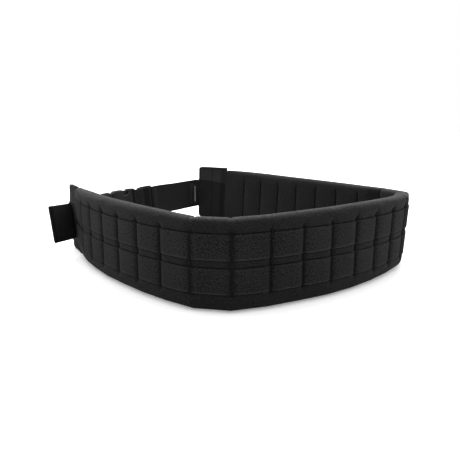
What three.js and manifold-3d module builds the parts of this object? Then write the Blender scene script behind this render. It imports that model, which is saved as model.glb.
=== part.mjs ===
import * as THREE from 'three';
import Module from 'manifold-3d';
import { mergeVertices } from 'three/addons/utils/BufferGeometryUtils.js';

// A padded duty belt that stands on its lower edge with its buckle fastened. Millimetres, +Z up.
// Seen from above the wall runs from the left end forwards, across the front, and round to the far end.
// The origin is the middle of the object's footprint, on the surface that it stands on.

const wasm = await Module();
wasm.setup();

// The pad and its two rows of webbing
const CELL = 38.1; // from one stitched fold to the next
const PAD_END = 46; // padded cloth beyond the outermost folds
const FOLD_RUN = 4.5; // half the width of the valley at a fold
const VALLEY_EDGE = 0.12; // how far the cloth is already drawn in where the valley begins
const MID_HEIGHT = 48; // the height about which the wall leans
const ROW = { width: 26, lower: 19.6, upper: 53.8, thick: 1.5, fromShare: 0.7, tackGap: 0.35, loopGap: 0.9 };

// The flat panels at both ends, each a sleeve for the strap
const PANEL = { length: 58, thick: 5.6, gap: 0.35 };

// The strap and the channel that it runs in
const STRAP = { width: 48.5, thick: 1.8, height: 47.5, tipThick: 3.9, tipRun: 22 };
const CHANNEL = { width: 53, thick: 2.8 };

// The buckle, the slide and the label, placed along the strap's straight run from its left corner
const MALE = { start: 48.5, length: 21.2, width: 55, thick: 3.2, bar: 3.8, slot: 4.6, radius: 5, bevel: 1.2 };
const FEMALE = {
  start: 70, length: 48.5, width: 57, thick: 12, radius: 6, bevel: 2.4, wall: 2.2, bar: 5, slot: 5,
};
const FEMALE_BAR = 3.2; // thickness of the bar that the strap goes round
const WINDOW = { middle: 26, along: 6.8, deep: 10 }; // thumb window, from the buckle's mouth
const SHOULDER = { length: 4.8, thick: 7.4, width: 46 }; // where the arms leave the male half
const ARM = { offset: 19.5, width: 4, thick: 4.4, short: 2.5 }; // short of the thumb window's end
const BUTTON = { offset: 19, length: 11, width: 9, thick: 5.6, radius: 2.5, bevel: 0.8 };
const GUIDE = { length: 27, width: 9, thick: 4 };
const CAVITY = { width: 48, behind: 4 }; // behind: plastic between the cavity and the strap's slot
const SLIDE = { start: 129.5, length: 25.5, width: 54.5, thick: 3.2, bar: 5, edge: 3.8, radius: 3.5, bevel: 1 };
const LABEL = { width: 17, height: 35, thick: 0.8, fromCorner: 5, gap: 0.3 };
const STRAP_SLOT = STRAP.width + 1.6;
const CUTTER = 20; // thickness of a cutter, more than any moulded part's

// The strap's route outside the sleeve
const STRAP_LEAN = 6; // degrees, the buckle's upper side away from the waist
const LINE_HEIGHT = { left: 43.5, right: 52.2 }; // the strap's middle at the two ends of its straight run
const CORNER = { left: 14, right: 7.5, lead: 5 }; // how far beyond the panels the straight run turns
const BEND_STEPS = 4;
const LAYER_GAP = 0.4;

// The free end: it leaves the line a little inside its corner, sags, and its tip stands outwards
const TAIL = {
  from: { t: -3, n: 0.5 },
  legs: [
    { heading: 281.2, length: 55.8, rise: 0.071, lean: 4 },
    { heading: 264, length: 50.2, rise: 0.089, lean: 8.5 },
  ],
};

// Run of the rounding on both sides of a corner of the strap
const BEND = { slot: 1.6, bar: 1.7, fold: 1.5, eased: 2, level: 3, tailTurn: 7, tailSag: 12 };

// Where the strap changes layer near the buckle and the slide, from the bar that it clears there
const CLEAR = {
  loadIn: 9, tailOut: 6, hiddenEnd: 2, foldBack: 4, barOut: 1, slideIn: 3, slideOut: 4, levelled: 13,
};

// One row per fold line, from the left end to the far end: turn of the wall there and its lean
// outwards, in degrees, and the height of its top edge in millimetres. The first and last rows
// are the joints with the flat panels.
const FIRST_HEADING = -67;
const FOLDS = [
  [5.5, 1.5, 96.5],
  [2.6, 0.6, 97.0],
  [3.2, 0.2, 97.4],
  [5.1, 0.0, 97.4],
  [2.9, 0.0, 97.4],
  [4.5, 0.0, 97.0],
  [5.4, 0.0, 96.2],
  [26.0, 0.0, 94.8],
  [30.7, 0.0, 94.8],
  [8.8, 0.0, 95.4],
  [2.4, 0.0, 96.0],
  [6.9, 0.0, 96.6],
  [5.2, 0.0, 96.4],
  [4.8, 0.2, 95.6],
  [5.9, 0.5, 94.6],
  [18.6, 1.0, 93.5],
  [35.1, 2.0, 92.6],
  [22.9, 2.0, 92.2],
  [2.0, 2.0, 92.6],
  [1.5, 2.0, 93.4],
  [2.5, 2.0, 94.0],
  [-1.0, 2.5, 94.6],
  [0.8, 3.0, 95.2],
  [1.2, 3.8, 96.0],
  [2.0, 4.2, 96.8],
  [9.5, 4.0, 97.2],
].map(([turn, lean, top]) => ({ turn, lean, top }));
const FRONT_FOLD = 8; // the row of the fold nearest to the viewer

// Flat panels: lower and upper edge at the joint and at the free end, and the lean of the free end
const PANEL_EDGES = {
  left: { joint: [3.5, 97.0], free: [2.5, 94.5], lean: 3.0 },
  right: { joint: [8.5, 100.3], free: [9.8, 100.5], lean: 2.4 },
};

// Half thickness of the pad: distance from its lower or upper edge, in the middle of a cell, at a fold
const SECTION = [
  ['bottom', 0.0, 1.5, 1.5],
  ['bottom', 1.3, 4.6, 4.2],
  ['bottom', 4.0, 7.0, 6.0],
  ['bottom', 9.0, 8.4, 5.4],
  ['bottom', 13.0, 8.6, 4.9],
  ['top', 12.0, 8.6, 4.9],
  ['top', 8.0, 8.4, 5.8],
  ['top', 4.0, 7.0, 6.4],
  ['top', 1.3, 4.6, 4.4],
  ['top', 0.0, 1.5, 1.5],
].map(([edge, distance, middle, fold]) => ({ edge, distance, middle, fold }));

// The rounded ends of the pad: distance from the end, share of the thickness, cut off the corners
const PAD_TIPS = [
  [0.0, 0.44, 6.0],
  [2.5, 0.74, 2.4],
  [7.0, 0.94, 0.4],
  [13.0, 1.0, 0.0],
].map(([distance, share, corner]) => ({ distance, share, corner }));
const CORNER_FADE = 14; // how far from the edge the cut of a corner reaches

// The rounded free corners of a panel: distance from the free end and cut off the corners
const PANEL_TIPS = [
  [0.0, 5.5],
  [1.6, 2.2],
  [5.5, 0.0],
].map(([distance, corner]) => ({ distance, corner }));

const radians = THREE.MathUtils.degToRad;
const mix = THREE.MathUtils.lerp;

// The plan of the wall

function headingVector(degrees) {
  return new THREE.Vector2(Math.cos(radians(degrees)), Math.sin(radians(degrees)));
}

// The straight stretches between fold lines, as start, heading and length
function planStretches() {
  const lengths = [PANEL.length, PAD_END, ...Array(FOLDS.length - 3).fill(CELL), PAD_END, PANEL.length];
  const stretches = [];
  let heading = FIRST_HEADING;
  let start = new THREE.Vector2(0, 0);
  lengths.forEach((length, i) => {
    stretches.push({ start: start.clone(), heading, length });
    start = start.clone().addScaledVector(headingVector(heading), length);
    if (i < FOLDS.length) heading += FOLDS[i].turn;
  });
  const front = stretches[FRONT_FOLD + 1].start.clone();
  stretches.forEach((stretch) => stretch.start.sub(front));
  return stretches;
}

const stretches = planStretches();
const lastStretch = stretches.length - 1;

// What the wall does between two fold lines: lean and top edge, as shares of the way
function wallAt(index, share) {
  const before = FOLDS[Math.max(index - 1, 0)];
  const after = FOLDS[Math.min(index, FOLDS.length - 1)];
  return { lean: mix(before.lean, after.lean, share), top: mix(before.top, after.top, share) };
}

// A station on a stretch: place in plan, outward direction, and how sharply it is seamed (0 to 1)
function station(index, distance, fold) {
  const { start, heading, length } = stretches[index];
  const place = start.clone().addScaledVector(headingVector(heading), distance);
  const { lean, top } = wallAt(index, distance / length);
  return { place, out: headingVector(heading - 90), lean, top, fold, share: 1, corner: 0 };
}

// At a fold line the outward direction is the bisector, lengthened so that both faces stay flat
function foldStation(index) {
  const fold = FOLDS[index];
  const { start, heading } = stretches[index + 1];
  const halfTurn = fold.turn / 2;
  const out = headingVector(heading - halfTurn - 90).divideScalar(Math.cos(radians(halfTurn)));
  return { place: start.clone(), out, lean: fold.lean, top: fold.top, fold: 1, share: 1, corner: 0 };
}

// A point of the wall: outward offset and height, sheared by the wall's lean
function wallPoint(at, offset, height) {
  const reach = offset + (height - MID_HEIGHT) * Math.tan(radians(at.lean));
  return new THREE.Vector3(at.place.x + at.out.x * reach, at.place.y + at.out.y * reach, height);
}

// A square end beside a joint: on the bisector, moved off it by half the gap
function jointStation(index, direction) {
  const at = foldStation(index);
  const heading = stretches[index + 1].heading - FOLDS[index].turn / 2;
  at.place.addScaledVector(headingVector(heading), (direction * PANEL.gap) / 2);
  return { ...at, fold: 0 };
}

// Stations of one rounded end of the pad, from its tip inwards
function tipStations(side) {
  const isLeft = side === 'left';
  const atJoint = isLeft ? jointStation(0, 1) : jointStation(FOLDS.length - 1, -1);
  return PAD_TIPS.map(({ distance, share, corner }) => {
    const along = isLeft ? distance : PAD_END - distance;
    const at = distance ? station(isLeft ? 1 : lastStretch - 1, along, 0) : atJoint;
    return { ...at, share, corner };
  });
}

// Stations of the padded part, from the left joint to the far one
function padStations() {
  const list = tipStations('left');
  list.push(station(1, PAD_END - FOLD_RUN, VALLEY_EDGE));
  for (let i = 1; i < FOLDS.length - 1; i += 1) {
    list.push(foldStation(i));
    if (i === FOLDS.length - 2) break;
    list.push(station(i + 1, FOLD_RUN, VALLEY_EDGE));
    list.push(station(i + 1, CELL / 2, 0));
    list.push(station(i + 1, CELL - FOLD_RUN, VALLEY_EDGE));
  }
  list.push(station(lastStretch - 1, FOLD_RUN, VALLEY_EDGE));
  return list.concat(tipStations('right').reverse());
}

// Swept bodies

// A closed body through a row of rings, each an array of points in the same order, with an
// optional channel through it. The rings run anticlockwise as seen along the sweep.
function sweptBody(rings, channels = null) {
  const positions = [];
  const indices = [];
  const addLoop = (loop) => {
    const first = positions.length / 3;
    loop.forEach((p) => positions.push(p.x, p.y, p.z));
    return first;
  };
  const addWall = (loops, inward) => {
    const firsts = loops.map(addLoop);
    const count = loops[0].length;
    for (let i = 0; i + 1 < loops.length; i += 1) {
      for (let j = 0; j < count; j += 1) {
        const a = firsts[i] + j;
        const b = firsts[i] + ((j + 1) % count);
        const c = firsts[i + 1] + j;
        const d = firsts[i + 1] + ((j + 1) % count);
        if (inward) indices.push(a, b, c, b, d, c);
        else indices.push(a, c, b, b, c, d);
      }
    }
    return firsts;
  };
  const outerFirsts = addWall(rings, false);
  const innerFirsts = channels ? addWall(channels, true) : null;
  const addCap = (at, flipped) => {
    const ring = rings[at];
    const hole = channels ? channels[at] : [];
    const flat = flattened(ring, hole);
    const names = ring.map((_, j) => outerFirsts[at] + j).concat(hole.map((_, j) => innerFirsts[at] + j));
    THREE.ShapeUtils.triangulateShape(flat.ring, hole.length ? [flat.hole] : []).forEach(([a, b, c]) => {
      const turned = flat.area(a, b, c) > 0 === flipped;
      indices.push(names[a], turned ? names[c] : names[b], turned ? names[b] : names[c]);
    });
  };
  addCap(0, false);
  addCap(rings.length - 1, true);
  const geometry = new THREE.BufferGeometry();
  geometry.setAttribute('position', new THREE.Float32BufferAttribute(positions, 3));
  geometry.setIndex(indices);
  return mergeVertices(geometry, 1e-3);
}

// A ring and its hole laid flat, in the plane of the ring's first corner
function flattened(ring, hole) {
  const origin = ring[0];
  const normal = new THREE.Vector3();
  ring.forEach((p, j) => {
    const q = ring[(j + 1) % ring.length];
    normal.add(p.clone().sub(origin).cross(q.clone().sub(origin)));
  });
  normal.normalize();
  const across = ring[1].clone().sub(origin).normalize();
  const along = normal.clone().cross(across);
  const lay = (p) => new THREE.Vector2(p.clone().sub(origin).dot(across), p.clone().sub(origin).dot(along));
  const flatRing = ring.map(lay);
  const flatHole = hole.map(lay);
  const all = flatRing.concat(flatHole);
  const area = (a, b, c) => all[b].clone().sub(all[a]).cross(all[c].clone().sub(all[a]));
  return { ring: flatRing, hole: flatHole, area };
}

// The outline of the padded wall at a station, up the outside and down the inside
function padRing(at) {
  const rows = SECTION.map(({ edge, distance, middle, fold }) => {
    const cut = at.corner * (1 - Math.min(distance / CORNER_FADE, 1));
    const height = edge === 'bottom' ? distance + cut : at.top - distance - cut;
    return { height, half: mix(middle, fold, at.fold) * at.share };
  });
  const outside = rows.map(({ height, half }) => wallPoint(at, half, height));
  const inside = rows.map(({ height, half }) => wallPoint(at, -half, height)).reverse();
  return outside.concat(inside);
}

// A rectangle about a middle offset and a middle height
function slabRing(at, offset, thick, low, high) {
  return [
    wallPoint(at, offset + thick / 2, low),
    wallPoint(at, offset + thick / 2, high),
    wallPoint(at, offset - thick / 2, high),
    wallPoint(at, offset - thick / 2, low),
  ];
}

function channelRing(at, middle) {
  return slabRing(at, 0, CHANNEL.thick, middle - CHANNEL.width / 2, middle + CHANNEL.width / 2);
}

function padSleeve() {
  const list = padStations();
  return sweptBody(list.map(padRing), list.map((at) => channelRing(at, STRAP.height)));
}

// A row of webbing on the outside, tacked down at every fold and loose between
function webbingRow(low) {
  const list = padStations().filter((at) => at.share > ROW.fromShare);
  const face = SECTION[SECTION.length / 2 - 1];
  const rings = list.map((at) => {
    const pad = mix(face.middle, face.fold, at.fold) * at.share;
    const loose = at.share === 1 ? 1 - at.fold : 0;
    const gap = mix(ROW.tackGap, ROW.loopGap, loose ** 3);
    return slabRing(at, pad + gap + ROW.thick / 2, ROW.thick, low, low + ROW.width);
  });
  return sweptBody(rings);
}

// A flat panel: two layers of cloth round the strap's channel, open at the free end
function panelStations(side) {
  const edges = PANEL_EDGES[side];
  const index = side === 'left' ? 0 : lastStretch;
  const joint = side === 'left' ? 0 : FOLDS.length - 1;
  const fromFree = [...PANEL_TIPS, { distance: PANEL.length, corner: 0 }];
  const list = fromFree.map(({ distance, corner }) => {
    const along = side === 'left' ? distance : PANEL.length - distance;
    const share = distance / PANEL.length;
    const atJoint = share === 1;
    return {
      ...(atJoint ? jointStation(joint, side === 'left' ? -1 : 1) : station(index, along, 0)),
      lean: mix(edges.lean, FOLDS[joint].lean, share),
      low: mix(edges.free[0], edges.joint[0], share) + corner,
      high: mix(edges.free[1], edges.joint[1], share) - corner,
      middle: mix(LINE_HEIGHT[side], STRAP.height, share),
    };
  });
  return side === 'left' ? list : list.reverse();
}

function endPanel(side) {
  const list = panelStations(side);
  const rings = list.map((at) => slabRing(at, 0, PANEL.thick, at.low, at.high));
  return sweptBody(rings, list.map((at) => channelRing(at, at.middle)));
}

// The strap's straight run, from a corner beyond the left panel to one beyond the far panel

// The open end of a panel: its middle, the way out of it, and its upright direction
function panelMouth(side) {
  const { start, heading, length } = stretches[side === 'left' ? 0 : lastStretch];
  const away = side === 'left' ? headingVector(heading).negate() : headingVector(heading);
  const mouth = side === 'left' ? start.clone() : start.clone().addScaledVector(away, length);
  const out = headingVector(heading - 90).multiplyScalar(Math.tan(radians(PANEL_EDGES[side].lean)));
  return { mouth, away, upright: new THREE.Vector3(out.x, out.y, 1).normalize() };
}

function lineCorner(side) {
  const { mouth, away } = panelMouth(side);
  const corner = mouth.addScaledVector(away, CORNER[side]);
  return new THREE.Vector3(corner.x, corner.y, LINE_HEIGHT[side]);
}

const leftCorner = lineCorner('left');
const rightCorner = lineCorner('right');
const lineLength = rightCorner.distanceTo(leftCorner);

// The line's own frame: along it, away from the waist, and up across the strap
function lineFrame() {
  const along = rightCorner.clone().sub(leftCorner).normalize();
  const level = new THREE.Vector3(-along.y, along.x, 0).normalize();
  const lean = radians(STRAP_LEAN);
  const upright = along.clone().cross(level);
  const away = level.clone().multiplyScalar(Math.cos(lean)).addScaledVector(upright, -Math.sin(lean));
  const up = along.clone().cross(away);
  return { along, away, up };
}

const line = lineFrame();

function linePoint(t, n) {
  return leftCorner.clone().addScaledVector(line.along, t).addScaledVector(line.away, n);
}

// A route with rounded corners, given as points with the run of the rounding on both sides,
// sampled as strap stations that carry their own up direction, which may change over a corner
function roundedRoute(points) {
  const samples = [];
  points.forEach(({ at, run, up, upAfter = up }, i) => {
    if (!run) {
      samples.push({ at, up });
      return;
    }
    const before = points[i - 1].at.clone().sub(at).setLength(run).add(at);
    const after = points[i + 1].at.clone().sub(at).setLength(run).add(at);
    const bend = new THREE.QuadraticBezierCurve3(before, at, after);
    bend.getPoints(BEND_STEPS).forEach((p, step) => {
      samples.push({ at: p, up: up.clone().lerp(upAfter, step / BEND_STEPS).normalize() });
    });
  });
  return samples;
}

// Rings of the strap across a list of samples, square to the route at every sample
function strapRings(samples) {
  return samples.map(({ at, up, thick = STRAP.thick }, i) => {
    const into = at.clone().sub(samples[Math.max(i - 1, 0)].at).normalize();
    const outOf = samples[Math.min(i + 1, samples.length - 1)].at.clone().sub(at).normalize();
    const tangent = into.add(outOf).normalize();
    const side = tangent.clone().cross(up).normalize();
    const rise = side.clone().cross(tangent).normalize();
    const turn = i > 0 && i + 1 < samples.length ? tangent.dot(outOf) : 1;
    const halfThick = side.multiplyScalar(thick / 2 / turn);
    const halfWide = rise.multiplyScalar(STRAP.width / 2);
    return [
      at.clone().add(halfThick).sub(halfWide),
      at.clone().add(halfThick).add(halfWide),
      at.clone().sub(halfThick).add(halfWide),
      at.clone().sub(halfThick).sub(halfWide),
    ];
  });
}

// How far a layer lies from the middle of a bar of the given thickness
function layerOver(thick, layer = 0) {
  return thick / 2 + LAYER_GAP + STRAP.thick / 2 + layer * (STRAP.thick + LAYER_GAP);
}

// From the left panel's mouth to the buckle, through its two bars and back to the folded tip
function leftRoute() {
  const { mouth, away, upright } = panelMouth('left');
  const bars = ladder();
  const load = -layerOver(MALE.thick, 1);
  const under = -layerOver(MALE.thick);
  const over = layerOver(MALE.thick);
  const share = line.along.dot(new THREE.Vector3(away.x, away.y, 0));
  const reach = CORNER.left + load / Math.sqrt(1 - share * share);
  const corner = mouth.clone().addScaledVector(away, reach);
  const turn = new THREE.Vector3(corner.x, corner.y, linePoint(0, load).z);
  const tailTurn = linePoint(TAIL.from.t, TAIL.from.n);
  const [nearLeg, tipLeg] = TAIL.legs.map(({ heading, length, rise, lean }) => {
    const flat = headingVector(heading);
    const out = headingVector(heading - 90).multiplyScalar(Math.tan(radians(lean)));
    const along = new THREE.Vector3(flat.x, flat.y, rise).normalize();
    return { along, length, up: new THREE.Vector3(out.x, out.y, 1).normalize() };
  });
  const sag = tailTurn.clone().addScaledVector(nearLeg.along, nearLeg.length);
  const beforeTip = (run) => sag.clone().addScaledVector(tipLeg.along, tipLeg.length - run);
  const samples = roundedRoute([
    { at: new THREE.Vector3(mouth.x, mouth.y, LINE_HEIGHT.left), up: upright },
    { at: turn, run: CORNER.lead, up: upright, upAfter: line.up },
    { at: linePoint(bars.nearBar - CLEAR.loadIn, load), run: BEND.eased, up: line.up },
    { at: linePoint(bars.farSlot, load), run: BEND.eased, up: line.up },
    { at: linePoint(bars.farSlot, over), run: BEND.slot, up: line.up },
    { at: linePoint(bars.nearSlot, over), run: BEND.slot, up: line.up },
    { at: linePoint(bars.nearSlot, under), run: BEND.slot, up: line.up },
    { at: linePoint(bars.nearBar - CLEAR.tailOut, under), run: BEND.eased, up: line.up },
    { at: tailTurn, run: BEND.tailTurn, up: line.up, upAfter: nearLeg.up },
    { at: sag, run: BEND.tailSag, up: nearLeg.up, upAfter: tipLeg.up },
    { at: beforeTip(STRAP.tipRun), up: tipLeg.up },
    { at: beforeTip(STRAP.tipRun - STRAP.tipThick + STRAP.thick), up: tipLeg.up },
    { at: beforeTip(0), up: tipLeg.up },
  ]);
  samples.slice(-2).forEach((sample) => {
    sample.thick = STRAP.tipThick;
  });
  return samples.slice(1);
}

// Middles of the bars and slots at the left end of the buckle
function ladder() {
  const nearBar = MALE.start + MALE.bar / 2;
  const nearSlot = MALE.start + MALE.bar + MALE.slot / 2;
  const farBar = nearSlot + MALE.slot / 2 + MALE.bar / 2;
  const farSlot = farBar + MALE.bar / 2 + MALE.slot / 2;
  return { nearBar, nearSlot, farBar, farSlot };
}

// Middles of the bars and slots of the slide
function slideBars() {
  const middle = SLIDE.start + SLIDE.length / 2;
  const slot = (SLIDE.length - 2 * SLIDE.edge - SLIDE.bar) / 2;
  return {
    near: SLIDE.start + SLIDE.edge / 2,
    far: SLIDE.start + SLIDE.length - SLIDE.edge / 2,
    nearSlot: middle - SLIDE.bar / 2 - slot / 2,
    farSlot: middle + SLIDE.bar / 2 + slot / 2,
    slot,
  };
}

// From the loose end under the slide, round the buckle's bar, over the slide and to the far mouth
function rightRoute() {
  const { mouth, upright } = panelMouth('right');
  const bars = slideBars();
  const barEnd = FEMALE.start + FEMALE.length;
  const barSlot = barEnd - FEMALE.bar - FEMALE.slot / 2;
  const under = layerOver(SLIDE.thick);
  const round = layerOver(FEMALE_BAR);
  const end = new THREE.Vector3(mouth.x, mouth.y, LINE_HEIGHT.right);
  const samples = roundedRoute([
    { at: linePoint(bars.farSlot - CLEAR.hiddenEnd, layerOver(SLIDE.thick, 1)), up: line.up },
    { at: linePoint(bars.near - CLEAR.foldBack, layerOver(SLIDE.thick, 1)), run: BEND.fold, up: line.up },
    { at: linePoint(barEnd, round), run: BEND.fold, up: line.up },
    { at: linePoint(barSlot, round), run: BEND.bar, up: line.up },
    { at: linePoint(barSlot, -round), run: BEND.bar, up: line.up },
    { at: linePoint(barEnd + CLEAR.barOut, -round), run: BEND.eased, up: line.up },
    { at: linePoint(bars.near - CLEAR.slideIn, under), run: BEND.eased, up: line.up },
    { at: linePoint(bars.nearSlot, under), run: BEND.slot, up: line.up },
    { at: linePoint(bars.nearSlot, -under), run: BEND.slot, up: line.up },
    { at: linePoint(bars.farSlot, -under), run: BEND.slot, up: line.up },
    { at: linePoint(bars.farSlot, under), run: BEND.slot, up: line.up },
    { at: linePoint(bars.far + CLEAR.slideOut, under), run: BEND.eased, up: line.up },
    { at: linePoint(bars.far + CLEAR.levelled, 0), run: BEND.level, up: line.up },
    { at: rightCorner, run: CORNER.lead, up: line.up, upAfter: upright },
    { at: end, up: upright },
  ]);
  return samples.slice(0, -1);
}

// The strap inside the sleeve, from the far mouth back to the left one
function sleeveRings() {
  const folds = FOLDS.map((_, i) => ({ ...foldStation(i), middle: STRAP.height }));
  const left = { ...station(0, 0, 0), middle: LINE_HEIGHT.left, lean: PANEL_EDGES.left.lean };
  const farEnd = station(lastStretch, PANEL.length, 0);
  const right = { ...farEnd, middle: LINE_HEIGHT.right, lean: PANEL_EDGES.right.lean };
  const half = STRAP.width / 2;
  const rings = [left, ...folds, right].map((at) =>
    slabRing(at, 0, STRAP.thick, at.middle - half, at.middle + half).reverse(),
  );
  return rings.reverse();
}

function waistStrap() {
  const rings = [...strapRings(rightRoute()), ...sleeveRings(), ...strapRings(leftRoute())];
  return sweptBody(rings);
}

// Moulded parts

function solidOf(geometry) {
  const bare = geometry.clone();
  bare.deleteAttribute('normal');
  bare.deleteAttribute('uv');
  const merged = mergeVertices(bare, 1e-4);
  const vertProperties = new Float32Array(merged.attributes.position.array);
  const triVerts = new Uint32Array(merged.index.array);
  return new wasm.Manifold(new wasm.Mesh({ numProp: 3, vertProperties, triVerts }));
}

function geometryOf(solid) {
  const mesh = solid.getMesh();
  const geometry = new THREE.BufferGeometry();
  geometry.setAttribute('position', new THREE.Float32BufferAttribute(mesh.vertProperties, 3));
  geometry.setIndex(Array.from(mesh.triVerts));
  return geometry;
}

// A block in the line's own frame: along, away from the waist, and up
function block(t, n, w, length, thick, width) {
  return solidOf(new THREE.BoxGeometry(length, thick, width).translate(t, n, w));
}

// A plate with rounded corners in the plane of along and up
function plate({ start, length, width, thick, radius, bevel }) {
  const x0 = start + bevel;
  const x1 = start + length - bevel;
  const y = width / 2 - bevel;
  const shape = new THREE.Shape();
  shape.moveTo(x0 + radius, -y);
  shape.lineTo(x1 - radius, -y);
  shape.absarc(x1 - radius, -y + radius, radius, -Math.PI / 2, 0);
  shape.lineTo(x1, y - radius);
  shape.absarc(x1 - radius, y - radius, radius, 0, Math.PI / 2);
  shape.lineTo(x0 + radius, y);
  shape.absarc(x0 + radius, y - radius, radius, Math.PI / 2, Math.PI);
  shape.lineTo(x0, -y + radius);
  shape.absarc(x0 + radius, -y + radius, radius, Math.PI, Math.PI * 1.5);
  const geometry = new THREE.ExtrudeGeometry(shape, {
    depth: thick - 2 * bevel,
    bevelEnabled: true,
    bevelThickness: bevel,
    bevelSize: bevel,
    bevelSegments: 2,
    curveSegments: 4,
  });
  geometry.translate(0, 0, -(thick - 2 * bevel) / 2);
  geometry.rotateX(Math.PI / 2);
  return solidOf(geometry);
}

// A short round cutter whose axis points away from the waist
function roundCutter(t, w, radiusT, radiusW) {
  const geometry = new THREE.CylinderGeometry(1, 1, CUTTER, 20);
  geometry.scale(radiusT, 1, radiusW);
  return solidOf(geometry.translate(t, 0, w));
}

function buckleMale() {
  const bars = ladder();
  const shoulder = MALE.start + MALE.length;
  const button = FEMALE.start + WINDOW.middle;
  const armTip = button + WINDOW.along - ARM.short;
  const armStart = shoulder - SHOULDER.length / 2;
  const armLength = armTip - armStart;
  let solid = plate(MALE);
  solid = solid.add(block(armStart, 0, 0, SHOULDER.length, SHOULDER.thick, SHOULDER.width));
  solid = solid.add(block(armStart + GUIDE.length / 2, 0, 0, GUIDE.length, GUIDE.thick, GUIDE.width));
  [-1, 1].forEach((side) => {
    solid = solid.add(block(armTip - armLength / 2, 0, side * ARM.offset, armLength, ARM.thick, ARM.width));
    const pad = plate({ ...BUTTON, start: button - BUTTON.length / 2 });
    solid = solid.add(pad.translate([0, 0, side * BUTTON.offset]));
  });
  [bars.nearSlot, bars.farSlot].forEach((slot) => {
    solid = solid.subtract(block(slot, 0, 0, MALE.slot, CUTTER, STRAP_SLOT));
  });
  return geometryOf(solid);
}

// The female half: an open mouth, two thumb windows, and a thin bar behind a slot for the strap
function buckleFemale() {
  const end = FEMALE.start + FEMALE.length;
  const cavityEnd = end - FEMALE.bar - FEMALE.slot - CAVITY.behind;
  const cavityLength = cavityEnd - FEMALE.start + 1;
  const inside = FEMALE.thick - 2 * FEMALE.wall;
  const slot = end - FEMALE.bar - FEMALE.slot / 2;
  const relief = (FEMALE.thick - FEMALE_BAR) / 2;
  let solid = plate(FEMALE);
  solid = solid.subtract(block(cavityEnd - cavityLength / 2, 0, 0, cavityLength, inside, CAVITY.width));
  solid = solid.subtract(block(slot, 0, 0, FEMALE.slot, CUTTER, STRAP_SLOT));
  [-1, 1].forEach((side) => {
    const middle = FEMALE.start + WINDOW.middle;
    solid = solid.subtract(roundCutter(middle, (side * FEMALE.width) / 2, WINDOW.along, WINDOW.deep));
    const n = side * (FEMALE_BAR / 2 + relief / 2 + 0.5);
    solid = solid.subtract(block(end, n, 0, 2 * FEMALE.bar + 1, relief + 1, STRAP_SLOT));
  });
  return geometryOf(solid);
}

function triGlide() {
  const bars = slideBars();
  let solid = plate(SLIDE);
  [bars.nearSlot, bars.farSlot].forEach((slot) => {
    solid = solid.subtract(block(slot, 0, 0, bars.slot, CUTTER, STRAP_SLOT));
  });
  return geometryOf(solid);
}

function strapLabel() {
  const n = -(STRAP.thick / 2 + LABEL.gap + LABEL.thick / 2);
  const t = lineLength - LABEL.fromCorner - LABEL.width / 2;
  return geometryOf(block(t, n, 0, LABEL.width, LABEL.thick, LABEL.height));
}

// The assembly

function finish(color, roughness) {
  return new THREE.MeshStandardMaterial({ color, roughness, metalness: 0 });
}

function piece(name, geometry, material) {
  const mesh = new THREE.Mesh(geometry, material);
  mesh.name = name;
  return mesh;
}

const belt = new THREE.Group();
belt.add(
  piece('pad_sleeve', padSleeve(), finish(0x1f2022, 0.9)),
  piece('webbing_row_upper', webbingRow(ROW.upper), finish(0x232426, 0.85)),
  piece('webbing_row_lower', webbingRow(ROW.lower), finish(0x232426, 0.85)),
  piece('end_panel_left', endPanel('left'), finish(0x1c1d1f, 0.9)),
  piece('end_panel_right', endPanel('right'), finish(0x1c1d1f, 0.9)),
  piece('waist_strap', waistStrap(), finish(0x18191b, 0.8)),
);

const hardware = new THREE.Group();
hardware.position.copy(leftCorner);
hardware.setRotationFromMatrix(new THREE.Matrix4().makeBasis(line.along, line.away, line.up));
hardware.add(
  piece('buckle_male', buckleMale(), finish(0x1b1c1e, 0.45)),
  piece('buckle_female', buckleFemale(), finish(0x1b1c1e, 0.45)),
  piece('tri_glide', triGlide(), finish(0x1b1c1e, 0.45)),
  piece('strap_label', strapLabel(), finish(0x2b2c2e, 0.8)),
);
belt.add(hardware);

// The middle of the footprint goes to the origin
belt.updateMatrixWorld(true);
const bounds = new THREE.Box3().setFromObject(belt, true);
const middle = bounds.getCenter(new THREE.Vector3());
belt.position.set(-middle.x, -middle.y, -bounds.min.z);

export default belt;
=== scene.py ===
import math

import bmesh
import bpy
from mathutils import Matrix, Vector, noise
from mathutils.bvhtree import BVHTree


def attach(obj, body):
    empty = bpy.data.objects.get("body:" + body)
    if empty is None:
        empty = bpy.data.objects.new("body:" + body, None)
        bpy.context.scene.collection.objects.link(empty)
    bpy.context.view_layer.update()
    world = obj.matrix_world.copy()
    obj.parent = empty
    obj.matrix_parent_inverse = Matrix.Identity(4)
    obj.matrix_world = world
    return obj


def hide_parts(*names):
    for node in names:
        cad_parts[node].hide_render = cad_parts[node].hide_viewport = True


# A padded belt with two rows of webbing, flat end panels, and a strap closed by a side release buckle.
# Lengths in the dictionaries are millimetres and angles are degrees, unless a note says otherwise.

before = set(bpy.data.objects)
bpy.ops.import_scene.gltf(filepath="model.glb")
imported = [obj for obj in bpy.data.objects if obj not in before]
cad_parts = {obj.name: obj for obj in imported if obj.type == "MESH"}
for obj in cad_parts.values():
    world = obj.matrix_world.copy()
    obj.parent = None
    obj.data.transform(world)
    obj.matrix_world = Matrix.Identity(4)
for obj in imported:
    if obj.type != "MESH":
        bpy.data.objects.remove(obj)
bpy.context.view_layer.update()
mm = 0.001
print("frame loaded")

# Short ways to build node trees


def plug(tree, node, key, value):
    socket = node.inputs[key]
    if isinstance(value, bpy.types.NodeSocket):
        tree.links.new(value, socket)
    else:
        socket.default_value = value


def addNode(tree, kind, values=(), **settings):
    node = tree.nodes.new(kind)
    for key, value in settings.items():
        setattr(node, key, value)
    for key, value in dict(values).items():
        plug(tree, node, key, value)
    return node


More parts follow.
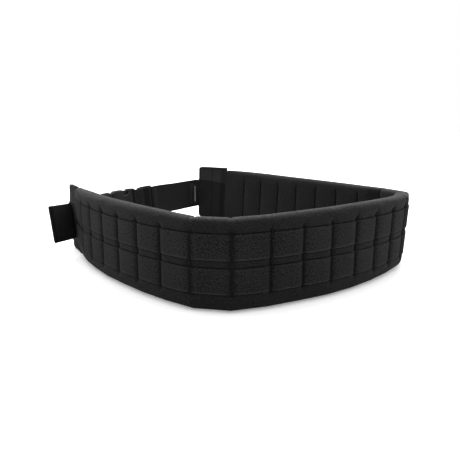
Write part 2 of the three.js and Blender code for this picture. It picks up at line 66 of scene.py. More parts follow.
def maths(tree, operation, *values):
    return addNode(tree, "ShaderNodeMath", enumerate(values), operation=operation).outputs[0]


def blend(tree, factor, first, second):
    return addNode(tree, "ShaderNodeMix", {0: factor, 6: first, 7: second}, data_type="RGBA").outputs[2]


def ramp(tree, value, low, high, lowest=0.0, highest=1.0):
    ends = {"Value": value, "From Min": low, "From Max": high, "To Min": lowest, "To Max": highest}
    return addNode(tree, "ShaderNodeMapRange", ends, interpolation_type="SMOOTHSTEP").outputs["Result"]


# Camera and light

view = {
    "place": (2.92, -728.67, 186.9),
    "down": 11.99,            # below the level
    "lens": 40.67,
    "sensor": 36,
}

light = {
    "horizon": 0.38,          # how bright the room is at eye level
    "zenith": 1.8,
    "sides": 0.18,            # what the walls to the left and right add
    "backdrop": 3.5,          # what the white wall behind the belt adds
    "backdropRise": 30,       # how far above the level it is brightest
    "backdropFocus": 4,       # the power of its fall-off around that
    "floorReach": 6,          # metres from its middle to its edges
    "floor": 0.93,
    "floorBounce": 0.48,      # as the belt sees the floor
    "floorFill": 0.27,        # as the camera sees it in the shade
    "overhead": {             # metres
        "place": (0, 0.9, 1.5),
        "size": (1.6, 0.8),
        "watts": 22,
        "aim": (0, -0.1, 0.05),
    },
}


def addLight(name, place, target, size, watts):
    data = bpy.data.lights.new(name, "AREA")
    data.shape = "RECTANGLE"
    data.size, data.size_y = size
    data.energy = watts
    lamp = bpy.data.objects.new(name, data)
    lamp.location = place
    lamp.rotation_euler = (Vector(target) - Vector(place)).to_track_quat("-Z", "Y").to_euler()
    bpy.context.scene.collection.objects.link(lamp)


def buildStudio():
    scene = bpy.context.scene
    scene.view_settings.view_transform = "Standard"
    camera = bpy.data.objects.new("camera", bpy.data.cameras.new("camera"))
    camera.data.lens = view["lens"]
    camera.data.sensor_width = view["sensor"]
    camera.data.clip_start = 0.01
    camera.location = Vector(view["place"]) * mm
    camera.rotation_euler = (math.radians(90 - view["down"]), 0, 0)
    scene.collection.objects.link(camera)
    scene.camera = camera

    world = bpy.data.worlds.new("studio")
    scene.world = world
    world.use_nodes = True
    tree = world.node_tree
    background = tree.nodes["Background"]
    background.inputs["Color"].default_value = (1, 1, 1, 1)
    direction = addNode(tree, "ShaderNodeTexCoord").outputs["Generated"]
    ways = addNode(tree, "ShaderNodeSeparateXYZ", {0: direction})
    across, back, height = (ways.outputs[axis] for axis in range(3))
    rise = maths(tree, "MULTIPLY", height, maths(tree, "MAXIMUM", height, 0))
    raised = math.radians(light["backdropRise"])
    behind = maths(tree, "MULTIPLY", back, math.cos(raised))
    behind = maths(tree, "MULTIPLY_ADD", height, math.sin(raised), behind)
    behind = maths(tree, "POWER", maths(tree, "MAXIMUM", behind, 0), light["backdropFocus"])
    room = maths(tree, "MULTIPLY_ADD", rise, light["zenith"] - light["horizon"], light["horizon"])
    room = maths(tree, "MULTIPLY_ADD", behind, light["backdrop"], room)
    room = maths(tree, "MULTIPLY_ADD", maths(tree, "MULTIPLY", across, across), light["sides"], room)
    seen = addNode(tree, "ShaderNodeLightPath").outputs["Is Camera Ray"]
    strength = addNode(tree, "ShaderNodeMix", {0: seen, 2: room, 3: 1.0}).outputs[0]
    plug(tree, background, "Strength", strength)

    top = light["overhead"]
    addLight("overhead", top["place"], top["aim"], top["size"], top["watts"])

    bm = bmesh.new()
    bmesh.ops.create_grid(bm, x_segments=1, y_segments=1, size=light["floorReach"])
    mesh = bpy.data.meshes.new("floor")
    bm.to_mesh(mesh)
    bm.free()
    floor = bpy.data.objects.new("floor", mesh)
    scene.collection.objects.link(floor)
    paint = bpy.data.materials.new("pale_floor")
    paint.use_nodes = True
    tree = paint.node_tree
    shader = tree.nodes["Principled BSDF"]
    shader.inputs["Roughness"].default_value = 1
    shader.inputs["Specular IOR Level"].default_value = 0
    shader.inputs["Emission Color"].default_value = (1, 1, 1, 1)
    seen = addNode(tree, "ShaderNodeLightPath").outputs["Is Camera Ray"]
    bounce, white = ((value, value, value, 1) for value in (light["floorBounce"], light["floor"]))
    plug(tree, shader, "Base Color", blend(tree, seen, bounce, white))
    plug(tree, shader, "Emission Strength", maths(tree, "MULTIPLY", seen, light["floorFill"]))
    mesh.materials.append(paint)


buildStudio()
print("studio built")

# Materials: the groups that several of them share


def newGroup(name, inputs, outputs):
    group = bpy.data.node_groups.new(name, "ShaderNodeTree")
    for label, kind, value in inputs:
        made = group.interface.new_socket(name=label, in_out="INPUT", socket_type="NodeSocket" + kind)
        if value is not None:
            made.default_value = value
    for label in outputs:
        group.interface.new_socket(name=label, in_out="OUTPUT", socket_type="NodeSocketFloat")
    given = group.nodes.new("NodeGroupInput").outputs
    result = group.nodes.new("NodeGroupOutput")
    return group, given, result


def makePlainWeave():
    tree, given, result = newGroup(
        "plain_weave", [("Cloth", "Vector", None), ("Pitch", "Float", 0.0006)], ["Height", "Gaps"])
    parts = addNode(tree, "ShaderNodeSeparateXYZ", {0: given["Cloth"]})
    turns = maths(tree, "DIVIDE", math.pi, given["Pitch"])
    warp = maths(tree, "SINE", maths(tree, "MULTIPLY", parts.outputs[0], turns))
    weft = maths(tree, "SINE", maths(tree, "MULTIPLY", parts.outputs[1], turns))
    over = maths(tree, "GREATER_THAN", maths(tree, "MULTIPLY", warp, weft), 0)
    warp, weft = maths(tree, "ABSOLUTE", warp), maths(tree, "ABSOLUTE", weft)
    long = maths(tree, "MULTIPLY", warp, maths(tree, "POWER", weft, 0.35))
    short = maths(tree, "MULTIPLY", weft, maths(tree, "POWER", warp, 0.35))
    height = addNode(tree, "ShaderNodeMix", {0: over, 2: short, 3: long}, data_type="FLOAT").outputs[0]
    plug(tree, result, "Height", height)
    plug(tree, result, "Gaps", ramp(tree, height, 0.35, 0.0))
    return tree


def makeGrain():
    inputs = [("Place", "Vector", None), ("Scale", "Float", 700), ("Slant", "Float", 0)]
    tree, given, result = newGroup("yarn_grain", inputs, ["Value"])
    slanted = addNode(tree, "ShaderNodeVectorRotate", {"Vector": given["Place"], "Angle": given["Slant"]},
                        rotation_type="Z_AXIS")
    fine = addNode(tree, "ShaderNodeTexNoise", {"Vector": slanted.outputs[0], "Scale": given["Scale"],
                                                "Detail": 4, "Roughness": 0.85})
    plug(tree, result, "Value", ramp(tree, fine.outputs["Fac"], 0.4, 0.6))
    return tree


plainWeave = makePlainWeave()
yarnGrain = makeGrain()


def newMaterial(name, roughness, specular, sheen=0.0):
    material = bpy.data.materials.new(name)
    material.use_nodes = True
    tree = material.node_tree
    shader = tree.nodes["Principled BSDF"]
    shader.inputs["Roughness"].default_value = roughness
    shader.inputs["Specular IOR Level"].default_value = specular
    shader.inputs["Sheen Weight"].default_value = sheen
    shader.inputs["Sheen Roughness"].default_value = 0.5
    return material, tree, shader


def grey(value):
    return (value, value, value * 1.02, 1)


def addBump(tree, shader, height, strength):
    bump = addNode(tree, "ShaderNodeBump", {"Height": height, "Distance": 1.0, "Strength": strength})
    plug(tree, shader, "Normal", bump.outputs[0])


def makeCloth(name, look):
    material, tree, shader = newMaterial(name, look["rough"], look["specular"], look["sheen"])
    cloth = addNode(tree, "ShaderNodeUVMap", uv_map="UVMap").outputs[0]
    place = addNode(tree, "ShaderNodeTexCoord").outputs["Object"]
    weave = addNode(tree, "ShaderNodeGroup", node_tree=plainWeave)
    plug(tree, weave, "Cloth", cloth)
    plug(tree, weave, "Pitch", look["pitch"] * mm)
    grain = addNode(tree, "ShaderNodeGroup", node_tree=yarnGrain)
    plug(tree, grain, "Place", cloth)
    plug(tree, grain, "Scale", look["grain"])
    plug(tree, grain, "Slant", math.radians(look["slant"]))
    paintedShadeMask, edge = (addNode(tree, "ShaderNodeAttribute", attribute_name=mark).outputs["Fac"]
                  for mark in ("fold", "edge"))
    wide = addNode(tree, "ShaderNodeTexNoise", {"Vector": place, "Scale": 19.0, "Detail": 3})

    color = blend(tree, grain.outputs["Value"], grey(look["dark"]), grey(look["pale"]))
    patchy = ramp(tree, wide.outputs["Fac"], 0.3, 0.7, 0.0, look["patches"])
    color = blend(tree, patchy, color, grey(look["pale"] * 1.3))
    gaps = maths(tree, "MULTIPLY", weave.outputs["Gaps"], 0.45)
    color = blend(tree, gaps, color, grey(look["dark"] * 0.4))
    # the edge mark lightens the cloth: pale selvedges, and painted light on the rows' lower edges, on the
    # panels and on the strap's tail
    color = blend(tree, maths(tree, "MULTIPLY", edge, look["edge"]), color, grey(look["pale"] * 2.4))
    # the fold mark darkens it with painted shade in folds, creases, stitched grooves and joints, and where
    # the buckle hides the strap
    color = blend(tree, maths(tree, "MULTIPLY", paintedShadeMask, look["fold"]), color, grey(look["dark"] * 0.25))
    plug(tree, shader, "Base Color", color)
    rough = ramp(tree, grain.outputs["Value"], 0, 1, look["rough"] + 0.08, look["rough"] - 0.06)
    plug(tree, shader, "Roughness", rough)

    grainHeight = maths(tree, "MULTIPLY", grain.outputs["Value"], look["grainDepth"] * mm)
    height = maths(tree, "MULTIPLY_ADD", weave.outputs["Height"], look["depth"] * mm, grainHeight)
    addBump(tree, shader, height, look["relief"])
    return material


def makeMoulding():
    look = mouldingLook
    material, tree, shader = newMaterial("moulded_plastic", look["rough"], look["specular"])
    place = addNode(tree, "ShaderNodeTexCoord").outputs["Object"]
    fine = addNode(tree, "ShaderNodeTexNoise", {"Vector": place, "Scale": look["grain"], "Detail": 2})
    wide = addNode(tree, "ShaderNodeTexNoise", {"Vector": place, "Scale": look["scuffs"], "Detail": 3})
    scuffed = ramp(tree, wide.outputs["Fac"], 0.45, 0.75)
    plug(tree, shader, "Base Color", blend(tree, scuffed, grey(look["dark"]), grey(look["pale"])))
    plug(tree, shader, "Roughness", ramp(tree, wide.outputs["Fac"], 0.3, 0.7, *look["gloss"]))
    height = maths(tree, "MULTIPLY", fine.outputs["Fac"], look["depth"] * mm)
    addBump(tree, shader, height, look["relief"])
    return material


def makeThread():
    look = threadLook
    material, tree, shader = newMaterial("twisted_thread", look["rough"], look["specular"])
    place = addNode(tree, "ShaderNodeTexCoord").outputs["Object"]
    turns = addNode(tree, "ShaderNodeTexWave", {"Vector": place, "Scale": look["twists"], "Distortion": 2},
                      bands_direction="DIAGONAL")
    color = blend(tree, turns.outputs["Fac"], grey(look["dark"]), grey(look["pale"]))
    plug(tree, shader, "Base Color", color)
    height = maths(tree, "MULTIPLY", turns.outputs["Fac"], look["depth"] * mm)
    addBump(tree, shader, height, look["relief"])
    return material


def makeLabelCloth():
    look = label["look"]
    material, tree, shader = newMaterial("label_cloth", look["rough"], look["specular"])
    cloth = addNode(tree, "ShaderNodeUVMap", uv_map="UVMap").outputs[0]
    weave = addNode(tree, "ShaderNodeGroup", {0: cloth, 1: label["pitch"] * mm}, node_tree=plainWeave)
    parts = addNode(tree, "ShaderNodeSeparateXYZ", {0: cloth})
    across, upward = (maths(tree, "ABSOLUTE", parts.outputs[axis]) for axis in (0, 1))
    offCentre = maths(tree, "ABSOLUTE", maths(tree, "SUBTRACT", parts.outputs[0], label["stripeAt"] * mm))
    half, tall = label["stripe"] / 2 * mm, label["stripeLength"] / 2 * mm
    stripe = ramp(tree, offCentre, half * 1.15, half * 0.85)
    stripe = maths(tree, "MULTIPLY", stripe, ramp(tree, upward, tall * 1.01, tall * 0.99))
    inside = label["border"] * mm
    sides, ends = (ramp(tree, away, label[size] / 2 * mm - inside, label[size] / 2 * mm - 0.8 * inside)
                   for away, size in ((across, "width"), (upward, "height")))
    border = maths(tree, "MAXIMUM", sides, ends)
    color = blend(tree, weave.outputs["Height"], grey(look["dark"]), grey(look["pale"]))
    color = blend(tree, border, color, grey(look["border"]))
    color = blend(tree, maths(tree, "MULTIPLY", stripe, 0.9), color, grey(look["stripe"]))
    plug(tree, shader, "Base Color", color)
    height = maths(tree, "MULTIPLY", weave.outputs["Height"], look["depth"] * mm)
    addBump(tree, shader, height, look["relief"])
    return material


label = {
    "width": 17,
    "height": 34.4,
    "thick": 0.9,
    "round": 0.25,
    "shift": (1.6, 0, -1.0),  # from the middle of the solid, along the strap, off it, and upwards
    "turned": 8,              # sewn on a little askew
    "pitch": 0.45,
    "border": 1.5,
    "stripe": 1.8,            # one plain pale stripe, woven in
    "stripeAt": 3.0,
    "stripeLength": 28,
    "look": {"rough": 0.7, "specular": 0.1, "dark": 0.011, "pale": 0.022, "border": 0.034, "stripe": 0.5,
             "depth": 0.12, "relief": 0.7},
}
mouldingLook = {"rough": 0.5, "gloss": (0.44, 0.6), "specular": 0.25, "grain": 1900, "scuffs": 60,
                "dark": 0.012, "pale": 0.02, "depth": 0.06, "relief": 0.5}
threadLook = {"rough": 0.7, "specular": 0.1, "twists": 900, "dark": 0.0035, "pale": 0.009,
              "depth": 0.08, "relief": 0.6}
# fold: how far the painted shade darkens each cloth. edge: how far its pale selvedges and painted light
# lighten it.
clothLooks = {
    "pad": {"pitch": 0.55, "depth": 0.10, "grain": 520, "grainDepth": 0.14, "slant": 35, "relief": 0.6,
            "dark": 0.0062, "pale": 0.0200, "patches": 0.2, "fold": 0.8, "edge": 0.0,
            "rough": 0.8, "specular": 0.06, "sheen": 0.06},
    "row": {"pitch": 0.95, "depth": 0.22, "grain": 560, "grainDepth": 0.3, "slant": 30, "relief": 0.7,
            "dark": 0.0025, "pale": 0.0295, "patches": 0.2, "fold": 0.65, "edge": 0.3,
            "rough": 0.85, "specular": 0.05, "sheen": 0.06},
    "strap": {"pitch": 0.7, "depth": 0.14, "grain": 700, "grainDepth": 0.14, "slant": 20, "relief": 0.7,
              "dark": 0.0095, "pale": 0.0195, "patches": 0.2, "fold": 0.85, "edge": 0.2,
              "rough": 0.75, "specular": 0.08, "sheen": 0.02},
    "panel": {"pitch": 0.55, "depth": 0.10, "grain": 560, "grainDepth": 0.16, "slant": 35, "relief": 0.6,
              "dark": 0.0085, "pale": 0.0185, "patches": 0.3, "fold": 0.8, "edge": 0.45,
              "rough": 0.85, "specular": 0.05, "sheen": 0.03},
}
padCloth = makeCloth("pad_cloth", clothLooks["pad"])
rowWebbing = makeCloth("row_webbing", clothLooks["row"])
strapWebbing = makeCloth("strap_webbing", clothLooks["strap"])
panelCloth = makeCloth("panel_cloth", clothLooks["panel"])
moulding = makeMoulding()
thread = makeThread()
labelCloth = makeLabelCloth()
print("materials made")

# The wall's plan, from the left panel's free end round to the far one

wall = {
    "cell": 38.1,             # from one stitched fold to the next
    "padEnd": 46,             # padded cloth beyond the outermost folds
    "panel": 58,
    "leanHeight": 48,         # the wall leans about this height
    "firstHeading": -67,
    "frontFold": 8,
    "frontPlace": (4.02, -238.77),
    "bend": 5,                # half the stretch over which the wall turns at a fold
    "sharp": (10, 16),        # a turn counts as sharp from here, and fully so this much further
}

foldTable = [  # turn of the wall, lean outwards, height of the rim
    (5.5, 1.5, 96.5), (2.6, 0.6, 97.0), (3.2, 0.2, 97.4), (5.1, 0.0, 97.4), (2.9, 0.0, 97.4),
    (4.5, 0.0, 97.0), (5.4, 0.0, 96.2), (26.0, 0.0, 94.8), (30.7, 0.0, 94.8), (8.8, 0.0, 95.4),
    (2.4, 0.0, 96.0), (6.9, 0.0, 96.6), (5.2, 0.2, 96.8), (4.8, 1.0, 96.6), (5.9, 2.2, 96.0),
    (18.6, 2.8, 95.4), (35.1, 3.2, 94.4), (22.9, 2.8, 93.4), (2.0, 2.4, 93.2), (1.5, 2.2, 93.6),
    (2.5, 2.0, 94.0), (-1.0, 2.5, 94.6), (0.8, 3.0, 95.2), (1.2, 3.8, 96.0), (2.0, 4.2, 96.8),
    (9.5, 4.0, 97.2),
]
# some folds are sewn this far from their bend
foldShifts = {11: -1, 12: -2.3, 13: -3.6, 14: -5, 15: -6.5, 16: -5, 17: -2}
foldCount = len(foldTable)
lastFold = foldCount - 1


def smooth(value):
    value = min(max(value, 0), 1)
    return value * value * (3 - 2 * value)


def ease(value, start, over):
    return smooth((value - start) / over)


def mix(first, second, share):
    return first + (second - first) * share


def quarterRound(share):
    return math.sqrt(1 - (1 - min(share, 1)) ** 2)


def outwardOf(along):
    return Vector((along.y, -along.x))


def layOutWall():
    lengths = [wall["panel"], wall["padEnd"]] + [wall["cell"]] * (foldCount - 3)
    lengths += [wall["padEnd"], wall["panel"]]
    heading, run, place, found = wall["firstHeading"], 0, Vector((0, 0)), []
    for number, length in enumerate(lengths):
        along = Vector((math.cos(math.radians(heading)), math.sin(math.radians(heading))))
        found.append({"start": place.copy(), "along": along, "run": run, "length": length})
        place += along * length
        run += length
        if number < foldCount:
            heading += foldTable[number][0]
    shift = Vector(wall["frontPlace"]) - found[wall["frontFold"] + 1]["start"]
    for stretch in found:
        stretch["start"] += shift
    return found


stretches = layOutWall()
foldRuns = [stretch["run"] for stretch in stretches[1:]]
wallLength = stretches[-1]["run"] + stretches[-1]["length"]
seamRuns = [run + foldShifts.get(number, 0) for number, run in enumerate(foldRuns)]
innerSeams = seamRuns[1:-1]   # the joints with the panels have no fold
farSlack = 2.2                # the far joint and mouth lie this much further on than the solids
padStart, padStop = foldRuns[0], foldRuns[-1] + farSlack


def wallAt(run):
    index = sum(1 for fold in foldRuns if fold <= run)
    stretch = stretches[index]
    before, after = foldTable[max(index - 1, 0)], foldTable[min(index, lastFold)]
    share = (run - stretch["run"]) / stretch["length"]
    nearest = min(range(foldCount), key=lambda number: abs(foldRuns[number] - run))
    gap = abs(foldRuns[nearest] - run)
    seamRun = min(innerSeams, key=lambda seam: abs(seam - run))
    meeting = outwardOf(stretches[nearest]["along"]) + outwardOf(stretches[nearest + 1]["along"])
    mitre = meeting.normalized() / math.cos(math.radians(foldTable[nearest][0] / 2))
    return {
        "run": run,
        "place": stretch["start"] + stretch["along"] * (run - stretch["run"]),
        "out": outwardOf(stretch["along"]).lerp(mitre, smooth(1 - gap / wall["bend"])),
        "lean": mix(before[1], after[1], share),
        "rim": mix(before[2], after[2], share),
        "gap": abs(seamRun - run),
        "bent": ease(abs(foldTable[nearest][0]), *wall["sharp"]),
    }


def wallPoint(at, offset, height):
    reach = offset + (height - wall["leanHeight"]) * math.tan(math.radians(at["lean"]))
    flat = at["place"] + at["out"] * reach
    return Vector((flat.x, flat.y, height)) * mm


# Cloth swept from a flat grid: every corner of the grid is given its place, and edges that meet are merged


def sweepGrid(rows, columns, placeAt, clothAt, marks=()):
    bm = bmesh.new()
    bmesh.ops.create_grid(bm, x_segments=rows, y_segments=columns, size=1)
    cloth = bm.loops.layers.uv.new("UVMap")
    layers = [bm.verts.layers.float.new(name) for name in marks]
    spots = {vert: (round((vert.co.x + 1) / 2 * rows), round((vert.co.y + 1) / 2 * columns))
             for vert in bm.verts}
    for face in bm.faces:
        for loop in face.loops:
            loop[cloth].uv = clothAt(*spots[loop.vert])
    for vert, spot in spots.items():
        place, *values = placeAt(*spot)
        vert.co = place
        for layer, value in zip(layers, values):
            vert[layer] = value
    bmesh.ops.remove_doubles(bm, verts=bm.verts, dist=1e-6)
    return bm


def sideOf(column, levels):
    column %= levels * 2
    return (1, column) if column <= levels else (-1, levels * 2 - column)


def backward(count, step):
    numbers = list(range(count - 1, -1, -step))
    return numbers if numbers[-1] == 0 else numbers + [0]


def closeEnds(bm):
    bmesh.ops.holes_fill(bm, edges=[edge for edge in bm.edges if edge.is_boundary], sides=0)


def finishPiece(bm, name, material, replaced=()):
    bmesh.ops.recalc_face_normals(bm, faces=bm.faces)
    mesh = bpy.data.meshes.new(name)
    bm.to_mesh(mesh)
    bm.free()
    mesh.shade_smooth()
    mesh.materials.append(material)
    piece = bpy.data.objects.new(name, mesh)
    bpy.context.scene.collection.objects.link(piece)
    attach(piece, "root")
    if replaced:
        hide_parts(*replaced)
    return piece


# The pad: one long sleeve of padded cloth, stitched through at every fold

pad = {
    "outside": 9.5,           # from the middle to either face between the folds, before it swells
    "inside": 8.0,
    "foot": -3.2,             # the lower edge touches the floor this far from the middle
    "footFullness": 2.0,      # of the rounded edges, 2 is an ellipse
    "rimFullness": 3.0,
    "bottomRound": 14,
    "rimRound": 7.0,
    "foldDepth": 3.4,
    "bentShare": 0.6,         # of that depth, where the wall bends sharply
    "foldFloor": 0.5,         # half the width of a fold's flat floor
    "bentFloor": 1.5,         # and as much more where the wall bends sharply
    "foldReach": 8.6,
    "foldPower": 2.4,         # how soon a cell levels out beside its folds
    "foldHeights": (12, 19.5, 80.5, 89.5),
    "seamDepth": 2.1,
    "seamReach": 1.9,
    "seamHeights": (6, 12, 80, 87),
    "pressed": 0.8,           # how far the rows press the cloth in
    "pressedEnds": (-0.7, 0.1, -0.3, 0.5),   # where that starts and ends about their edges
    "bulge": 0.3,             # how far it stands out beside them
    "creaseDepth": 1.0,       # of the narrow gap above a row
    "creaseAt": 0.6,
    "creaseReach": 0.75,
    "creaseInFold": 0.6,      # the share that the folds take from it
    "limb": (0.7, 15.6, 55),  # fuller on the outside by this, about this fold, and over this reach
    "endShare": 0.5,          # both faces thin to this share towards both ends
    "endReach": 64,
    "endPower": 1.3,
    "endRound": (1.6, 1.8, 14),     # how much lower the ends are, over which run, and up to which height
    "channel": (26.5, 1.4, 47.5),   # half height and half depth of the strap's way through, and its middle
    "blunt": 6,               # how squarely that way ends above and below
}
pinch = {                     # where the wall bends sharply, near its rim
    "reach": 3.5,
    "thinner": 0.1,           # a share, from the first height and over the second
    "thinnerFrom": (80, 8),
    "drop": 0.8,
    "dropFrom": (84, 8),
}
lumps = (                     # along the wall, up it, layer of the noise, height, share that folds take
    (0.05, 0.05, 3, 0.35, 0),
    (0.02, 0.16, 9, 0.4, 1),
)
# Painted shade on the pad: darker deep in its outer folds, along its inner seams, inside sharp bends, in
# the crease above each row and where it meets the panels
shading = {                   # how dark the cloth gets, as shares
    "fold": 0.9,
    "foldPower": 2.4,
    "bentFold": 0.6,
    "seamPower": 0.8,
    "crease": 0.8,
    "end": 0.9,
    "corner": 0.7,            # inside, where the wall bends sharply
    "cornerReach": 7,
}

row = {
    "height": 26,
    "lows": {"lower": 19.6, "upper": 53.8},
    "thick": 1.5,
    "fromEnd": 1.2,
    "tackGap": 0.2,
    "loopGap": 0.3,
    "looseFrom": (1.5, 9),    # this far from a fold, and fully so this much further
    "probes": (1, 7, 13, 19, 24.5),
    "flare": 0.1,             # how far the upper edge stands off between the folds
    "lowerFlare": 0.07,
    "flareRises": (19, 5),    # where these start, up and down from here
    "edgeRound": 0.6,
    # fold and foldPower shape the painted shade at the folds
    "fold": (0.4, 3.6),       # half its flat floor, and its reach beyond that
    "foldPower": 1.4,
    # hem and upperHem: a pale selvedge with a painted highlight, mostly on the lower edge
    "hem": (1.2, 0.8),        # the paler edge, and the height over which it ends
    "upperHem": 0.2,          # its share at the upper edge
}

swell = {
    "pressure": 4,
    "frames": 20,
    "cap": 1.5,               # how far the cloth may move
    "stiffness": 12,
    "shear": 4,
    "bending": 0.4,
    "mass": 0.3,
    "quality": 4,
    "heldFold": (1 / 13, 10 / 13),    # the cloth is held from this depth of a fold, and over this more
    "heldCrease": (3 / 8, 5 / 8),
}

otherFace = {"pad": 220, "panel": 210, "strap": 110}   # shifts the cloth pattern of a second face
halfCell = [0, 0.8, 1.7, 2.7, 3.8, 5.4, 8.2, 12.6]
endCell = [0.175, 0.9, 2, 3.6, 5.6, 8.5, 13, 18.5, 25, 31]


def padRuns():
    runs = [padStart + step for step in endCell]
    for number, fold in enumerate(innerSeams):
        runs += [fold - step for step in reversed(halfCell[1:])]
        runs += [fold + step for step in halfCell]
        if number + 1 < len(innerSeams):
            runs.append((fold + innerSeams[number + 1]) / 2)
    return runs + [padStop - step for step in reversed(endCell)]


padFlats = [15.8, 17.5, 18.6, 19.1, 19.6, 20.2, 22.5, 27, 32, 37, 41.5, 44.4, 45.2, 45.6, 46, 46.4,
            46.8, 47.4, 48.4, 50.2, 52.2, 53, 53.6, 54.2, 56, 60, 65, 70, 75, 78.6, 79.4, 79.8,
            80.2, 80.6, 81, 81.6, 82.6, 83.8]


def padHeights(rim):
    lower = [pad["bottomRound"] * (1 - math.cos(math.radians(step * 9))) for step in range(11)]
    upper = [rim - pad["rimRound"] * (1 - math.cos(math.radians(step * 9))) for step in range(10, -1, -1)]
    return lower + padFlats + [mix(padFlats[-1], upper[0], 0.5)] + upper


def tipShare(run):
    inset = min(run - padStart, padStop - run)
    left = max(1 - inset / pad["endReach"], 0)
    cut, over, _ = pad["endRound"]
    return mix(1, pad["endShare"], left ** pad["endPower"]), cut * math.exp(-inset / over)


def between(value, heights):
    low, lowFull, highFull, high = heights
    return smooth((value - low) / (lowFull - low)) * smooth((high - value) / (high - highFull))


def padSection(at, outside, height):
    rim, gap = at["rim"], at["gap"]
    sink = max(pad["bottomRound"] - height, 0) / pad["bottomRound"]
    climb = max(height - rim + pad["rimRound"], 0) / pad["rimRound"]
    lower = max(1 - sink ** pad["footFullness"], 0) ** (1 / pad["footFullness"])
    upper = max(1 - climb ** pad["rimFullness"], 0) ** (1 / pad["rimFullness"])
    foot = pad["foot"] if outside else -pad["foot"]
    half = mix(foot, pad["outside" if outside else "inside"], lower) * upper
    full = lower * upper
    crease = 0
    if outside:
        flat = pad["foldFloor"] + pad["bentFloor"] * at["bent"]
        fold = (1 - min(max(gap - flat, 0) / (pad["foldReach"] - flat), 1)) ** pad["foldPower"]
        fold *= between(height, pad["foldHeights"])
        half -= pad["foldDepth"] * mix(1, pad["bentShare"], at["bent"]) * fold
        pressed = 0
        for low in row["lows"].values():
            top = low + row["height"]
            ends = (low, low, top, top)
            pressed += between(height, [end + shift for end, shift in zip(ends, pad["pressedEnds"])])
            crease = max(crease, 1 - smooth(abs(height - top - pad["creaseAt"]) / pad["creaseReach"]))
        half += mix(pad["bulge"], -pad["pressed"], pressed) * (1 - fold) * full
        half -= pad["creaseDepth"] * crease * (1 - pad["creaseInFold"] * fold)
        fuller, number, reach = pad["limb"]
        limbRun = mix(foldRuns[int(number)], foldRuns[int(number) + 1], number % 1)
        half += fuller * math.exp(-((at["run"] - limbRun) / reach) ** 2) * full
    else:
        fold = (1 - smooth(gap / pad["seamReach"])) * between(height, pad["seamHeights"])
        half -= pad["seamDepth"] * fold
    nip = at["bent"] * (1 - smooth(gap / pinch["reach"]))
    half *= 1 - pinch["thinner"] * nip * ease(height, *pinch["thinnerFrom"])
    uneven = 0
    for along, upward, layer, lump, taken in lumps:
        place = Vector((at["run"] * along, height * upward, layer if outside else -layer))
        uneven += lump * noise.noise(place) * (1 - taken * fold)
    half += full * uneven
    return half, fold, crease, nip


# painted shade for one corner of the pad's cloth, from its folds, seams, bends and creases
def padDark(at, height, outside, fold, crease):
    if outside:
        dark = shading["fold"] * fold ** shading["foldPower"] * mix(1, shading["bentFold"], at["bent"])
    else:
        beside = 1 - smooth(at["gap"] / shading["cornerReach"])
        beside *= between(height, pad["seamHeights"])
        dark = max(fold ** shading["seamPower"], at["bent"] * max(shading["corner"], beside))
    return max(dark, shading["crease"] * crease)


def channelPoint(at, sign, lift, middle, slack=0):
    halfHigh, halfDeep, _ = pad["channel"]
    depth = (halfDeep + slack) * max(1 - abs(lift) ** pad["blunt"], 0) ** (1 / pad["blunt"])
    return wallPoint(at, sign * depth, middle + halfHigh * lift)


def makePad():
    runs = padRuns()
    stations = [wallAt(run) for run in runs]
    heights = [padHeights(at["rim"]) for at in stations]
    levels = len(heights[0]) - 1
    columns = levels * 2
    count = len(runs)
    channel = backward(count, 6)
    rings = count + len(channel)

    def padCorner(number, column):
        number %= rings
        sign, level = sideOf(column, levels)
        if number >= count:
            nearby = channel[number - count]
            halfRim = stations[nearby]["rim"] / 2
            lift = (heights[nearby][level] - halfRim) / halfRim
            return channelPoint(stations[nearby], sign, lift, pad["channel"][2]), 0, 1
        at, height = stations[number], heights[number][level]
        half, fold, crease, nip = padSection(at, sign > 0, height)
        share, cut = tipShare(runs[number])
        over = pad["endRound"][2]
        height += cut * max(1 - height / over, 0) - cut * max(1 - (at["rim"] - height) / over, 0)
        height -= pinch["drop"] * nip * ease(height, *pinch["dropFrom"])
        atEnd = 1 if min(number, count - 1 - number) < 2 else 0
        held = max(ease(fold, *swell["heldFold"]), ease(crease, *swell["heldCrease"]), atEnd)
        # painted shade on the last rings at both ends, where the pad meets the panels
        dark = max(padDark(at, height, sign > 0, fold, crease), shading["end"] * atEnd)
        return wallPoint(at, sign * half * share, height), dark, held

    def padUv(number, column):
        run = runs[number] if number < count else runs[channel[(number - count) % len(channel)]]
        sign, level = sideOf(column, levels)
        height = heights[0][level] if column < columns else 0
        return run * mm, (height if sign > 0 and column < columns else otherFace["pad"] - height) * mm

    bm = sweepGrid(rings, columns, padCorner, padUv, ("fold", "held"))
    return finishPiece(bm, "padded_sleeve", padCloth, ["pad_sleeve"])


